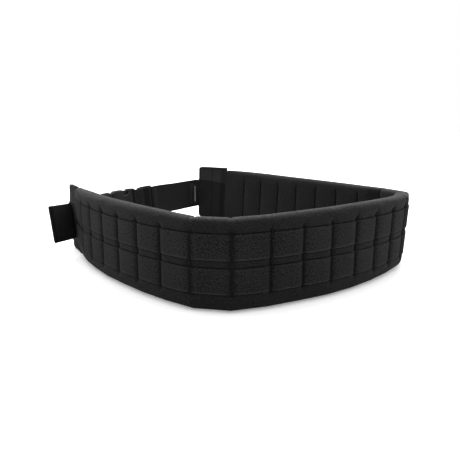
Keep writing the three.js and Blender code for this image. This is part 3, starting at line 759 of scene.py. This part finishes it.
def swellPad(piece):
    mesh = piece.data
    before = [vert.co.copy() for vert in mesh.vertices]
    held = piece.vertex_groups.new(name="held")
    marks = mesh.attributes["held"].data
    for vert in mesh.vertices:
        held.add([vert.index], marks[vert.index].value, "REPLACE")
    cloth = piece.modifiers.new("swell", "CLOTH")
    cloth.settings.vertex_group_mass = "held"
    cloth.settings.quality = swell["quality"]
    cloth.settings.mass = swell["mass"]
    cloth.settings.tension_stiffness = swell["stiffness"]
    cloth.settings.compression_stiffness = swell["stiffness"]
    cloth.settings.shear_stiffness = swell["shear"]
    cloth.settings.bending_stiffness = swell["bending"]
    cloth.settings.use_pressure = True
    cloth.settings.uniform_pressure_force = swell["pressure"]
    cloth.settings.effector_weights.gravity = 0
    cloth.collision_settings.use_collision = False
    cloth.collision_settings.use_self_collision = False
    cloth.point_cache.frame_start = 1
    cloth.point_cache.frame_end = swell["frames"]
    for number in range(1, swell["frames"] + 1):
        bpy.context.scene.frame_set(number)
    graph = bpy.context.evaluated_depsgraph_get()
    swollen = [vert.co.copy() for vert in piece.evaluated_get(graph).data.vertices]
    piece.modifiers.remove(cloth)
    piece.vertex_groups.remove(held)
    cap, widest = swell["cap"] * mm, 0
    for vert, old, new in zip(mesh.vertices, before, swollen):
        move = new - old
        widest = max(widest, move.length)
        if move.length > 1e-9:
            move *= cap * math.tanh(move.length / cap) / move.length
        vert.co = old + move
        vert.co.z = max(vert.co.z, 0)
    bpy.context.scene.frame_set(1)
    print("pad swollen, widest move before the cap %.1f mm" % (widest / mm))


paddedSleeve = makePad()
print("pad laid out, %d corners" % len(paddedSleeve.data.vertices))
swellPad(paddedSleeve)

# The two rows of webbing, stitched down at every fold and loose between

probe = 25                    # a ray starts this far outside the wall


def surfaceOf(piece):
    mesh = piece.data
    places = [vert.co for vert in mesh.vertices]
    return BVHTree.FromPolygons(places, [face.vertices for face in mesh.polygons])


padTree = surfaceOf(paddedSleeve)


def padSurface(at, height):
    start = wallPoint(at, probe, height)
    way = wallPoint(at, 0, height) - start
    hit = padTree.ray_cast(start, way.normalized(), way.length)
    return probe * (1 - hit[3] / way.length) if hit[0] else 0


def rowBase(at, low):
    highest = max(padSurface(at, low + step) for step in row["probes"])
    loose = ease(at["gap"], *row["looseFrom"])
    return highest + mix(row["tackGap"], row["loopGap"], loose), loose


rowEdge = [0, 0.1, 0.4, 0.9, 1.7, 3, 5.5, 9, 13, 17, 20.5, 23, 24.3, 25.1, 25.6, 25.9, 26]


def makeRow(which):
    low = row["lows"][which]
    runs = [run for run in padRuns() if padStart + row["fromEnd"] <= run <= padStop - row["fromEnd"]]
    runs = [padStart + row["fromEnd"]] + runs + [padStop - row["fromEnd"]]
    stations = [wallAt(run) for run in runs]
    bases = [rowBase(at, low) for at in stations]
    levels = len(rowEdge) - 1

    def rowCorner(number, column):
        sign, level = sideOf(column, levels)
        rise = rowEdge[level]
        inset = min(rise, row["height"] - rise)
        base, loose = bases[number]
        offset = base + row["thick"] / 2 * (1 + sign * quarterRound(inset / row["edgeRound"]))
        start, stop = row["flareRises"]
        offset += row["flare"] * loose * smooth((rise - start) / (row["height"] - start))
        offset += row["lowerFlare"] * loose * smooth((stop - rise) / stop)
        # painted shade at the folds, and the pale selvedges with their painted highlight, mostly on the
        # lower edge
        fold = (1 - ease(stations[number]["gap"], *row["fold"])) ** row["foldPower"]
        edge = (1 - ease(inset, *row["hem"])) * (1 - fold)
        if rise >= row["height"] / 2:
            edge *= row["upperHem"]
        return wallPoint(stations[number], offset, low + rise), fold, edge

    def rowCloth(number, column):
        outside = column <= levels
        rise = rowEdge[column] if outside else 2 * row["height"] - rowEdge[levels * 2 - column]
        return runs[number] * mm, rise * mm

    bm = sweepGrid(len(runs) - 1, levels * 2, rowCorner, rowCloth, ("fold", "edge"))
    closeEnds(bm)
    return finishPiece(bm, "webbing_" + which, rowWebbing, ["webbing_row_" + which])


rowPieces = {which: makeRow(which) for which in row["lows"]}
print("webbing rows made")

# The flat panels at both ends, each a sleeve for the strap

# joint and free: the heights of both edges there. flare: how far the free end stands off outwards.
# longer: the free end against the solid. The last entry: painted shade towards the joint with the pad: how
# much, from where and over which run.
panel = {
    "left": {"joint": (2.6, 97), "free": (0.6, 95), "lean": 0.9, "strapMiddle": 42, "flare": 4.0,
             "corners": (5.5, 9), "longer": 0, "paintedShade": (0.9, 50, 1.5)},
    "right": {"joint": (6.5, 101.4), "free": (7.6, 101.2), "lean": 2.4, "strapMiddle": 52.2, "flare": 0,
              "corners": (5.5, 5.5), "longer": 1.3, "paintedShade": (0.35, 46.5, 1.5)},
    "half": 2.1,              # of the two layers of cloth
    "hemHalf": 2.6,           # where they are folded in at the edges
    "strapRise": 0.7,         # how far the strap inside lifts them
    "strapFlare": 1.5,        # the flare's share there, at the outer face
    "seams": (49.5, 53.5),    # the double stitching, from the free end
    "middleSeam": 29,
    "hem": 3.2,
    "stitchDepth": 0.38,
    "stitchReach": 0.8,
    # painted shade in the stitched grooves
    "stitchDark": 0.75,
    "edgeRound": 1.1,
    "edgeShare": 0.35,        # of the thickness, at the very edge
    "mouthShares": (0.6, 0.25),   # of it at the free end, and as much more beside the strap
    "slack": 0.1,             # its way for the strap is this much deeper than the pad's
    "zone": (1.4, 1.6),       # the strap's zone ends this far beyond the way, over this height
    "hemOver": 0.6,
    "beyond": (-0.5, 4),      # the flare changes from here beyond the way's edge, and over this height
    "flareLoss": (0.6, 50),   # the share that the flare has lost this far from the free end
    # painted light: the top of the far panel is lighter
    "topEdge": (25.5, 1.2),   # the far panel is paler from this far above the strap's middle
    "pattern": 10,            # the ring whose heights the cloth pattern follows
}
panelSteps = [0, 0.3, 0.9, 1.8, 2.7, 3.2, 3.7, 4.6, 6, 9, 13, 17, 21, 25, 27.5, 28.4, 29, 29.6, 30.5, 34,
              38, 42, 46, 48, 48.9, 49.5, 50.1, 51.5, 52.9, 53.5, 54.1, 55.5, 57, 57.825]
panelRises = [0, 0.12, 0.5, 1.2, 2.2, 2.7, 3.2, 3.7, 4.6, 7]


def makePanel(side):
    shape = panel[side]
    isLeft = side == "left"
    jointLean = foldTable[0 if isLeft else lastFold][1]
    tips = [step - shape["longer"] * (1 - step / wall["panel"]) for step in panelSteps]
    stations = [wallAt(tip if isLeft else wallLength + farSlack - tip) for tip in tips]
    count = len(stations)
    tubeSteps = backward(count, 4)
    rings = count + len(tubeSteps)
    sizes = []
    for at, step in zip(stations, panelSteps):
        share = step / wall["panel"]
        at["lean"] = mix(shape["lean"], jointLean, share)
        lowCut, highCut = (corner * (1 - quarterRound(step / corner)) for corner in shape["corners"])
        low, high = (mix(shape["free"][end], shape["joint"][end], share) for end in (0, 1))
        strapMiddle = mix(shape["strapMiddle"], pad["channel"][2], share)
        sizes.append((low + lowCut, high - highCut, strapMiddle))

    def levelsAt(number):
        low, high, middle = sizes[number]
        halfHigh = pad["channel"][0]
        zone = [middle - halfHigh + rise for rise in (-1.5, 0, 1.2)]
        zone += [middle + share * halfHigh for share in (-0.7, -0.35, 0, 0.35, 0.7)]
        zone += [middle + halfHigh + rise for rise in (-1.2, 0, 1.5)]
        upper = [high - rise for rise in reversed(panelRises)]
        return [low + rise for rise in panelRises] + zone + upper

    clothLevels = levelsAt(panel["pattern"])
    levels = len(clothLevels) - 1
    columns = levels * 2

    def groove(value, middle):
        return 1 - smooth(abs(value - middle) / panel["stitchReach"])

    def panelHalf(number, height):
        low, high, middle = sizes[number]
        step = panelSteps[number]
        inset = max(min(height - low, high - height), 0)
        rounded = mix(panel["edgeShare"], 1, quarterRound(inset / panel["edgeRound"]))
        further, over = panel["zone"]
        inZone = smooth((pad["channel"][0] + further - abs(height - middle)) / over)
        atHem = 1 - ease(min(inset, step), panel["hem"], panel["hemOver"])
        half = max(panel["half"] + panel["strapRise"] * inZone, mix(panel["half"], panel["hemHalf"], atHem))
        stitched = max(groove(step, seam) for seam in (panel["middleSeam"], *panel["seams"]))
        stitched = max(stitched, groove(inset, panel["hem"]), groove(step, panel["hem"]) * (1 - inZone))
        half -= panel["stitchDepth"] * stitched
        mouth, beside = panel["mouthShares"]
        atMouth = mix(mouth + beside * inZone, 1, quarterRound(step / panel["edgeRound"]))
        return half * min(rounded, atMouth), stitched

    def panelCorner(number, column):
        number %= rings
        sign, level = sideOf(column, levels)
        if number >= count:
            nearby = tubeSteps[number - count]
            low, high, middle = sizes[nearby]
            lift = (levelsAt(nearby)[level] - (low + high) / 2) / ((high - low) / 2)
            lift = min(max(lift, -1), 1)
            return channelPoint(stations[nearby], sign, lift, middle, panel["slack"]), 0, 0
        step, height = panelSteps[number], levelsAt(number)[level]
        half, stitched = panelHalf(number, height)
        above = height - sizes[number][2]
        beyond = ease(abs(above) - pad["channel"][0], *panel["beyond"])
        lost, reach = panel["flareLoss"]
        flare = shape["flare"] * mix(panel["strapFlare"], 1, beyond) * (1 - lost * smooth(step / reach))
        offset = half + flare if sign > 0 else flare * beyond - half
        # painted shade in the stitched grooves and towards the joint with the pad; painted light where the
        # tail shades the left panel's outer face, and along the top of the far panel
        most, *where = shape["paintedShade"]
        if isLeft:
            paintedLight = 1 - beyond if sign > 0 else 0
        else:
            paintedLight = ease(above, *panel["topEdge"])
        place = wallPoint(stations[number], offset, height)
        return place, max(panel["stitchDark"] * stitched, most * ease(step, *where)), paintedLight

    def panelUv(number, column):
        nearby = number if number < count else tubeSteps[(number - count) % len(tubeSteps)]
        if column <= levels:
            return panelSteps[nearby] * mm, clothLevels[column] * mm
        return panelSteps[nearby] * mm, (otherFace["panel"] - clothLevels[columns - column]) * mm

    bm = sweepGrid(rings, columns, panelCorner, panelUv, ("fold", "edge"))
    return finishPiece(bm, "panel_" + side, panelCloth, ["end_panel_" + side])


panels = {side: makePanel(side) for side in ("left", "right")}
print("end panels made")

# The strap: its solid gives the rings, which are smoothed and given rounded selvedges

strap = {
    "step": 4.0,              # the longest stretch and the widest turn between two rings
    "turn": 11,
    "halfWidth": 24.25,
    "wideShare": 1.02,
    "tail": 106,              # the free end, from its tip
    "corner": 50,             # where it bends slightly
    "tipShift": (-1.3, 0),
    "cornerShift": (2.2, 0.4),    # towards the panel
    "cornerSlant": (4.0, 0.8),    # the lower edge goes this much further
    # tipDark is painted shade on the tip; paler is painted light on the tail where the panel shades it
    "tipDark": (0.8, 42),     # how much darker the tip is, and over which run
    "paler": ((0.8, 40, 14), (1.8, 66, 30)),   # how much, from where, and over which run, past the tip
    "palerEnd": 6,            # the run over which that stops behind the free end
    "selvedge": 0.07,         # the pale edge's share of the half width
    "ribbed": (0.93, 0.12),   # thinner beyond this share of the half width, by this share
    "turnedOver": 1441,       # from here to its other end it shows the slide's middle bar
    "plane": 1.6,             # the buckle's middle plane, behind the label's
    # from here on, runs are along the line from the label's middle
    "line": (8, -210, 0),     # up to this depth, and between these runs
    "middleBar": -110,
    "barReach": 5.5,          # over this run it parts from the middle bar
    "spread": 2.2,
    "spreadFrom": (8, 7),     # and over this one it comes back
    # painted shade where the buckle and slide hide the strap
    "hidden": (7.5, -145, -138),  # dark this near the bar, and between these two runs
    "hiddenDark": 0.9,
    "raised": 1.1,            # upwards, from the first pair's run and as far as the second's
    "raisedFrom": (-134, 14),
    "raisedTo": (-77, 40),
    "ladder": (1.035, -208, -187),    # wider in the buckle's ladder, between these runs
}


def mergedCopy(node):
    bm = bmesh.new()
    bm.from_mesh(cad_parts[node].data)
    bmesh.ops.remove_doubles(bm, verts=bm.verts, dist=1e-6)
    return bm


def lineFrame():
    bm = mergedCopy("strap_label")
    bmesh.ops.dissolve_limit(bm, angle_limit=math.radians(1), verts=bm.verts, edges=bm.edges)
    middle = sum((vert.co for vert in bm.verts), Vector()) / len(bm.verts)
    edges = sorted(bm.edges, key=lambda edge: edge.calc_length())
    level, upright = (edge.verts[1].co - edge.verts[0].co for edge in (edges[len(edges) // 2], edges[-1]))
    bm.free()
    along = level.normalized() * (1 if level.y > 0 else -1)
    upward = upright.normalized() * (1 if upright.z > 0 else -1)
    return middle, along, upward.cross(along), upward


strapFrame = lineFrame()


def strapRings():
    bm = mergedCopy("waist_strap")
    tips = [vert for vert in bm.verts if len(vert.link_edges) < 6]
    tips.sort(key=lambda vert: vert.co.x)
    ring = tips[:4]                       # the folded tip lies furthest to the left
    first = ring[0]
    partner = min(ring[1:], key=lambda vert: (vert.co - first.co).length)
    others = [vert for vert in ring[1:] if vert is not partner]
    across = min(others, key=lambda vert: (vert.co - first.co).length)
    opposite = next(vert for vert in others if vert is not across)
    ring = [first, across, opposite, partner]
    rings, seen = [], set()
    while ring:
        seen.update(ring)
        rings.append([vert.co.copy() for vert in ring])
        middle = sum((vert.co for vert in ring), Vector()) / 4
        following = {edge.other_vert(vert) for vert in ring for edge in vert.link_edges} - seen
        if len(following) != 4:
            break
        ahead = sum((vert.co for vert in following), Vector()) / 4
        wide, thick = ring[1].co - ring[0].co, ring[3].co - ring[0].co

        def corner(wideWay, thickWay):
            return max(following, key=lambda vert: (vert.co - ahead).dot(wide) * wideWay
                       + (vert.co - ahead).dot(thick) * thickWay * wide.length / thick.length)

        ring = [corner(-1, -1), corner(1, -1), corner(1, 1), corner(-1, 1)]
        assert len(set(ring)) == 4, "the strap's rings cross near %s" % middle
    bm.free()
    return rings


def strapStations():
    found = []
    for ring in strapRings():
        middle = sum(ring, Vector()) / 4
        wide = (ring[1] - ring[0] + ring[2] - ring[3]) / 4 * strap["wideShare"]
        thick = (ring[3] - ring[0] + ring[2] - ring[1]) / 4
        found.append({"at": middle, "wide": wide, "thick": thick, "along": thick.cross(wide).normalized()})
    if (found[1]["at"] - found[0]["at"]).dot(found[0]["along"]) < 0:
        for station in found:
            station["along"] = -station["along"]
    fine, run = [], 0
    for first, second in zip(found, found[1:]):
        span = (second["at"] - first["at"]).length
        turn = math.degrees(first["along"].angle(second["along"]))
        parts = max(math.ceil(span / mm / strap["step"]), math.ceil(turn / strap["turn"]), 1)
        for part in range(parts):
            share = part / parts
            rise = share * share * (3 - 2 * share)
            lead = (share ** 3 - 2 * share ** 2 + share) * span
            trail = (share ** 3 - share ** 2) * span
            at = first["at"] * (1 - rise) + second["at"] * rise
            at += first["along"] * lead + second["along"] * trail
            fine.append({"at": at, "wide": first["wide"].lerp(second["wide"], share),
                         "thick": first["thick"].lerp(second["thick"], share), "run": run + share * span})
        run += span
    fine.append({"at": found[-1]["at"], "wide": found[-1]["wide"], "thick": found[-1]["thick"], "run": run})
    return fine


def slantTail(stations):
    for station in stations:
        run = station["run"] / mm
        if run < strap["tail"]:
            toCorner = run / strap["corner"]
            toBend = (strap["tail"] - run) / (strap["tail"] - strap["corner"])
            shift = Vector((*strap["tipShift"], 0)) * (1 - min(toCorner, 1))
            slant = Vector((*strap["cornerSlant"], 0)) * min(toCorner, toBend)
            lower = 1 if station["wide"].z > 0 else -1
            shift += Vector((*strap["cornerShift"], 0)) * min(toCorner, toBend)
            station["at"] += (shift + slant / 2) * mm
            station["wide"] -= slant / 2 * mm * lower


def turnOver(stations):
    middle, along, away, upward = strapFrame
    for station in stations:
        place = (station["at"] - middle) / mm
        run, depth = place.dot(along), place.dot(away)
        if station["run"] > strap["turnedOver"] * mm:
            fromBar = run - strap["middleBar"]
            near = min(abs(fromBar) / strap["barReach"], 1) * (1 - ease(abs(fromBar), *strap["spreadFrom"]))
            station["at"] -= 2 * (depth - strap["plane"]) * mm * away
            station["at"] += math.copysign(strap["spread"], fromBar) * near * mm * along
            station["thick"] = 2 * station["thick"].dot(away) * away - station["thick"]
            # painted shade where the buckle and slide hide the strap
            reach, start, stop = strap["hidden"]
            if abs(fromBar) < reach or start < run < stop:
                station["shade"] = strap["hiddenDark"]
        reach, start, stop = strap["line"]
        if abs(depth) < reach and start < run < stop:
            raised = ease(run, *strap["raisedFrom"]) * (1 - ease(run, *strap["raisedTo"]))
            station["at"] += strap["raised"] * raised * mm * upward
            wider, start, stop = strap["ladder"]
            if start < run < stop:
                station["wide"] = station["wide"] * wider


strapSides = [(-1, 0), (-0.985, 0.75), (-0.955, 1), (-0.9, 1), (-0.6, 1), (-0.2, 1),
              (0.2, 1), (0.6, 1), (0.9, 1), (0.955, 1), (0.985, 0.75)]
strapSides += [(-wide, -thick) for wide, thick in strapSides]


def makeStrap():
    stations = strapStations()
    slantTail(stations)
    turnOver(stations)
    columns = len(strapSides)

    def strapCorner(number, column):
        station = stations[number]
        wide, thick = strapSides[column % columns]
        ribFrom, thinner = strap["ribbed"]
        ribbed = 1 - thinner * (abs(wide) > ribFrom)
        place = station["at"] + station["wide"] * wide + station["thick"] * thick * ribbed
        run = station["run"] / mm
        # painted shade on the tip and where the buckle hides the strap; painted light on the tail where the
        # panel shades it, beside the pale selvedges
        tipDark, tipRun = strap["tipDark"]
        paintedShade = max(station.get("shade", 0), tipDark * (1 - smooth(run / tipRun)))
        paintedLight = sum(most * ease(run, *where) for most, *where in strap["paler"])
        paintedLight *= 1 - ease(run, strap["tail"], strap["palerEnd"])
        return place, max(1 - smooth((1 - abs(wide)) / strap["selvedge"]), paintedLight), paintedShade

    def strapCloth(number, column):
        across = strapSides[column % columns][0] * strap["halfWidth"]
        if column > columns / 2:
            across = otherFace["strap"] - across
        return stations[number]["run"], across * mm

    bm = sweepGrid(len(stations) - 1, columns, strapCorner, strapCloth, ("edge", "fold"))
    closeEnds(bm)
    finishPiece(bm, "strap_webbing", strapWebbing, ["waist_strap"])
    return stations


strapLine = makeStrap()
print("strap made, %.0f mm long" % (strapLine[-1]["run"] / mm))

# Buckle, slide and label


def makeMoulded(node, name, rounding):
    bm = mergedCopy(node)
    bmesh.ops.dissolve_limit(bm, angle_limit=math.radians(1), verts=bm.verts, edges=bm.edges)
    middle, along, away, upward = strapFrame
    for vert in bm.verts:
        place = (vert.co - middle) / mm
        run, rise = place.dot(along), place.dot(upward)
        if node == "buckle_male" and run > button["from"] and abs(rise) > button["middle"]:
            vert.co += (upward * math.copysign(button["grown"], rise) + away * button["back"]) * mm
        if node == "tri_glide":
            moved = sum(shift for edge, shift in slide["moves"] if run < edge)
            vert.co += (along * moved + upward * slide["raised"]) * mm
    piece = finishPiece(bm, name, moulding, [node])
    bevel = piece.modifiers.new("worn_edges", "BEVEL")
    bevel.width = rounding * mm
    bevel.segments = 2
    bevel.limit_method = "ANGLE"
    bevel.angle_limit = math.radians(32)
    bevel.harden_normals = True


# Lengths along the strap from the label's middle, and across it
button = {"from": -163, "middle": 20, "grown": 3.3, "back": 1.2}
slide = {"moves": ((-115.2, -1.5), (-120.9, -4.5)), "raised": 1.0}
lip = {
    "path": [(-165.5, 16.8), (-161, 17.3), (-156, 17.9), (-152.5, 18.9), (-150.2, 20.8), (-149.2, 23.6),
             (-149, 27)],
    "depth": -4.4,            # the buckle's face, before the label's middle
    "radius": 1.1,
    "endShare": 0.4,          # of the radius
    "sides": 8,
}


def makeLip(side):
    middle, along, away, upward = strapFrame
    path = [middle + (along * run + away * lip["depth"] + upward * side * rise) * mm
            for run, rise in lip["path"]]

    def lipCorner(number, column):
        before, after = path[max(number - 1, 0)], path[min(number + 1, len(path) - 1)]
        across = (after - before).cross(away).normalized()
        turn = math.tau * column / lip["sides"]
        radius = lip["radius"] * mm * (lip["endShare"] if number in (0, len(path) - 1) else 1)
        return (path[number] + (across * math.cos(turn) + away * math.sin(turn)) * radius,)

    def lipUv(number, column):
        return number * mm, column * mm

    bm = sweepGrid(len(path) - 1, lip["sides"], lipCorner, lipUv)
    closeEnds(bm)
    finishPiece(bm, "window_lip_upper" if side > 0 else "window_lip_lower", moulding)


for node, rounding in (("buckle_male", 0.35), ("buckle_female", 0.45), ("tri_glide", 0.4)):
    makeMoulded(node, node + "_moulding", rounding)
for side in (-1, 1):
    makeLip(side)
print("mouldings made")

# The label, on the strap's side towards the waist


def makeLabel():
    middle, along, away, upward = strapFrame
    bm = bmesh.new()
    bmesh.ops.create_cube(bm, size=mm)
    size = Vector((label["width"], label["thick"], label["height"]))
    for vert in bm.verts:
        vert.co = vert.co * size
    bmesh.ops.bevel(bm, geom=bm.edges[:], offset=label["round"] * mm, segments=2, affect="EDGES",
                    profile=0.5, material=-1)
    cloth = bm.loops.layers.uv.new("UVMap")
    for face in bm.faces:
        for loop in face.loops:
            loop[cloth].uv = (loop.vert.co.x, loop.vert.co.z)
    turn = Matrix((along, away, upward)).transposed()
    place = middle + turn @ (Vector(label["shift"]) * mm)
    turn = turn @ Matrix.Rotation(math.radians(label["turned"]), 3, "Y")
    for vert in bm.verts:
        vert.co = place + turn @ vert.co
    finishPiece(bm, "woven_label", labelCloth, ["strap_label"])


makeLabel()
print("label made")

# Threads: one small closed form, repeated along every seam

sewing = {
    "width": 0.62,
    "proud": 0.12,            # how far a thread's middle stands above the cloth
    "tack": {"pitch": 1.3, "reach": 1.0},
    "run": {"pitch": 3.2, "share": 0.74},
    "blunt": 0.6,             # the power that fills out a thread's ends
    "rowInsets": (1, 0.8),    # from a row's lower and upper edge
    "padInsets": (8, 9),      # from the pad's foot and rim
}


def spotOn(tree, run, height, side):
    at = wallAt(run)
    start = wallPoint(at, side * probe, height)
    way = wallPoint(at, 0, height) - start
    place, normal, *_ = tree.ray_cast(start, way.normalized(), way.length)
    return place, normal


def threadOn(tree, first, last, side):
    (one, oneNormal), (two, _) = (spotOn(tree, run, height, side) for run, height in (first, last))
    return (one, two, oneNormal) if one and two else None


def tackAt(tree, run, low, high):
    pitch, reach = sewing["tack"]["pitch"], sewing["tack"]["reach"]
    for number in range(int((high - low) / pitch)):
        sway, foot = reach if number % 2 else -reach, low + number * pitch
        yield threadOn(tree, (run - sway, foot), (run + sway, foot + pitch), 1)


def seamAlong(tree, first, last, side):
    first, last = Vector(first), Vector(last)
    count = max(round((last - first).length / sewing["run"]["pitch"]), 1)
    gap = (1 - sewing["run"]["share"]) / 2
    for number in range(count):
        ends = (first.lerp(last, (number + share) / count) for share in (gap, 1 - gap))
        yield threadOn(tree, *ends, side)


def sewn(name, threads):
    template = bmesh.new()
    bmesh.ops.create_uvsphere(template, u_segments=6, v_segments=4, radius=1)
    template.verts.index_update()
    shape = [(*vert.co.xy, math.copysign(abs(vert.co.z) ** sewing["blunt"], vert.co.z))
             for vert in template.verts]
    joined = [[vert.index for vert in face.verts] for face in template.faces]
    template.free()
    places, faces = [], []
    for one, two, normal in filter(None, threads):
        half, thick = (two - one) / 2, sewing["width"] / 2 * mm
        across = half.cross(normal).normalized() * thick
        lift = across.cross(half).normalized() * thick
        middle = (one + two) / 2 + normal * sewing["proud"] * mm
        first = len(places)
        places += [middle + across * x + lift * y + half * z for x, y, z in shape]
        faces += [[first + corner for corner in face] for face in joined]
    mesh = bpy.data.meshes.new(name)
    mesh.from_pydata(places, [], faces)
    bm = bmesh.new()
    bm.from_mesh(mesh)
    bpy.data.meshes.remove(mesh)
    finishPiece(bm, name, thread)


tacks = []
for which, low in row["lows"].items():
    tree = surfaceOf(rowPieces[which])
    for run in innerSeams:
        lowInset, highInset = sewing["rowInsets"]
        tacks += tackAt(tree, run, low + lowInset, low + row["height"] - highInset)
sewn("row_tacks", tacks)

seams = []
for run in innerSeams:
    foot, rim = sewing["padInsets"][0], wallAt(run)["rim"] - sewing["padInsets"][1]
    seams += seamAlong(padTree, (run, foot), (run, rim), -1)
sewn("sleeve_seams", seams)

seams = []
for name, piece in panels.items():
    shape, tree = panel[name], surfaceOf(piece)

    def edgeAt(step, end, inset):
        height = mix(shape["free"][end], shape["joint"][end], step / wall["panel"])
        run = step if name == "left" else wallLength + farSlack - step
        return run, height + (inset if end == 0 else -inset)

    hem = panel["hem"]
    for side in (-1, 1):
        for step in (panel["middleSeam"], *panel["seams"]):
            seams += seamAlong(tree, edgeAt(step, 0, hem), edgeAt(step, 1, hem), side)
        for end in (0, 1):
            seams += seamAlong(tree, edgeAt(hem, end, hem), edgeAt(wall["panel"] - 1, end, hem), side)
sewn("panel_seams", seams)


def strapSpot(run, wide, side):
    index = next(number for number, station in enumerate(strapLine) if station["run"] >= run * mm)
    after, before = strapLine[index], strapLine[max(index - 1, 0)]
    span = after["run"] - before["run"]
    share = (run * mm - before["run"]) / span if span else 0
    at, across, thick = (before[key].lerp(after[key], share) for key in ("at", "wide", "thick"))
    return at + across * wide + thick * side, thick.normalized() * side


tipHem = {"runs": (3, 19.5), "wide": 0.9, "count": 15, "share": 0.7}
seams = []
for side in (-1, 1):
    for run in tipHem["runs"]:
        for number in range(tipHem["count"]):
            low, high = (mix(-tipHem["wide"], tipHem["wide"], step / tipHem["count"])
                         for step in (number, number + tipHem["share"]))
            one, normal = strapSpot(run, low, side)
            two, _ = strapSpot(run, high, side)
            seams.append((one, two, normal))
sewn("tip_hem", seams)
print("threads sewn")
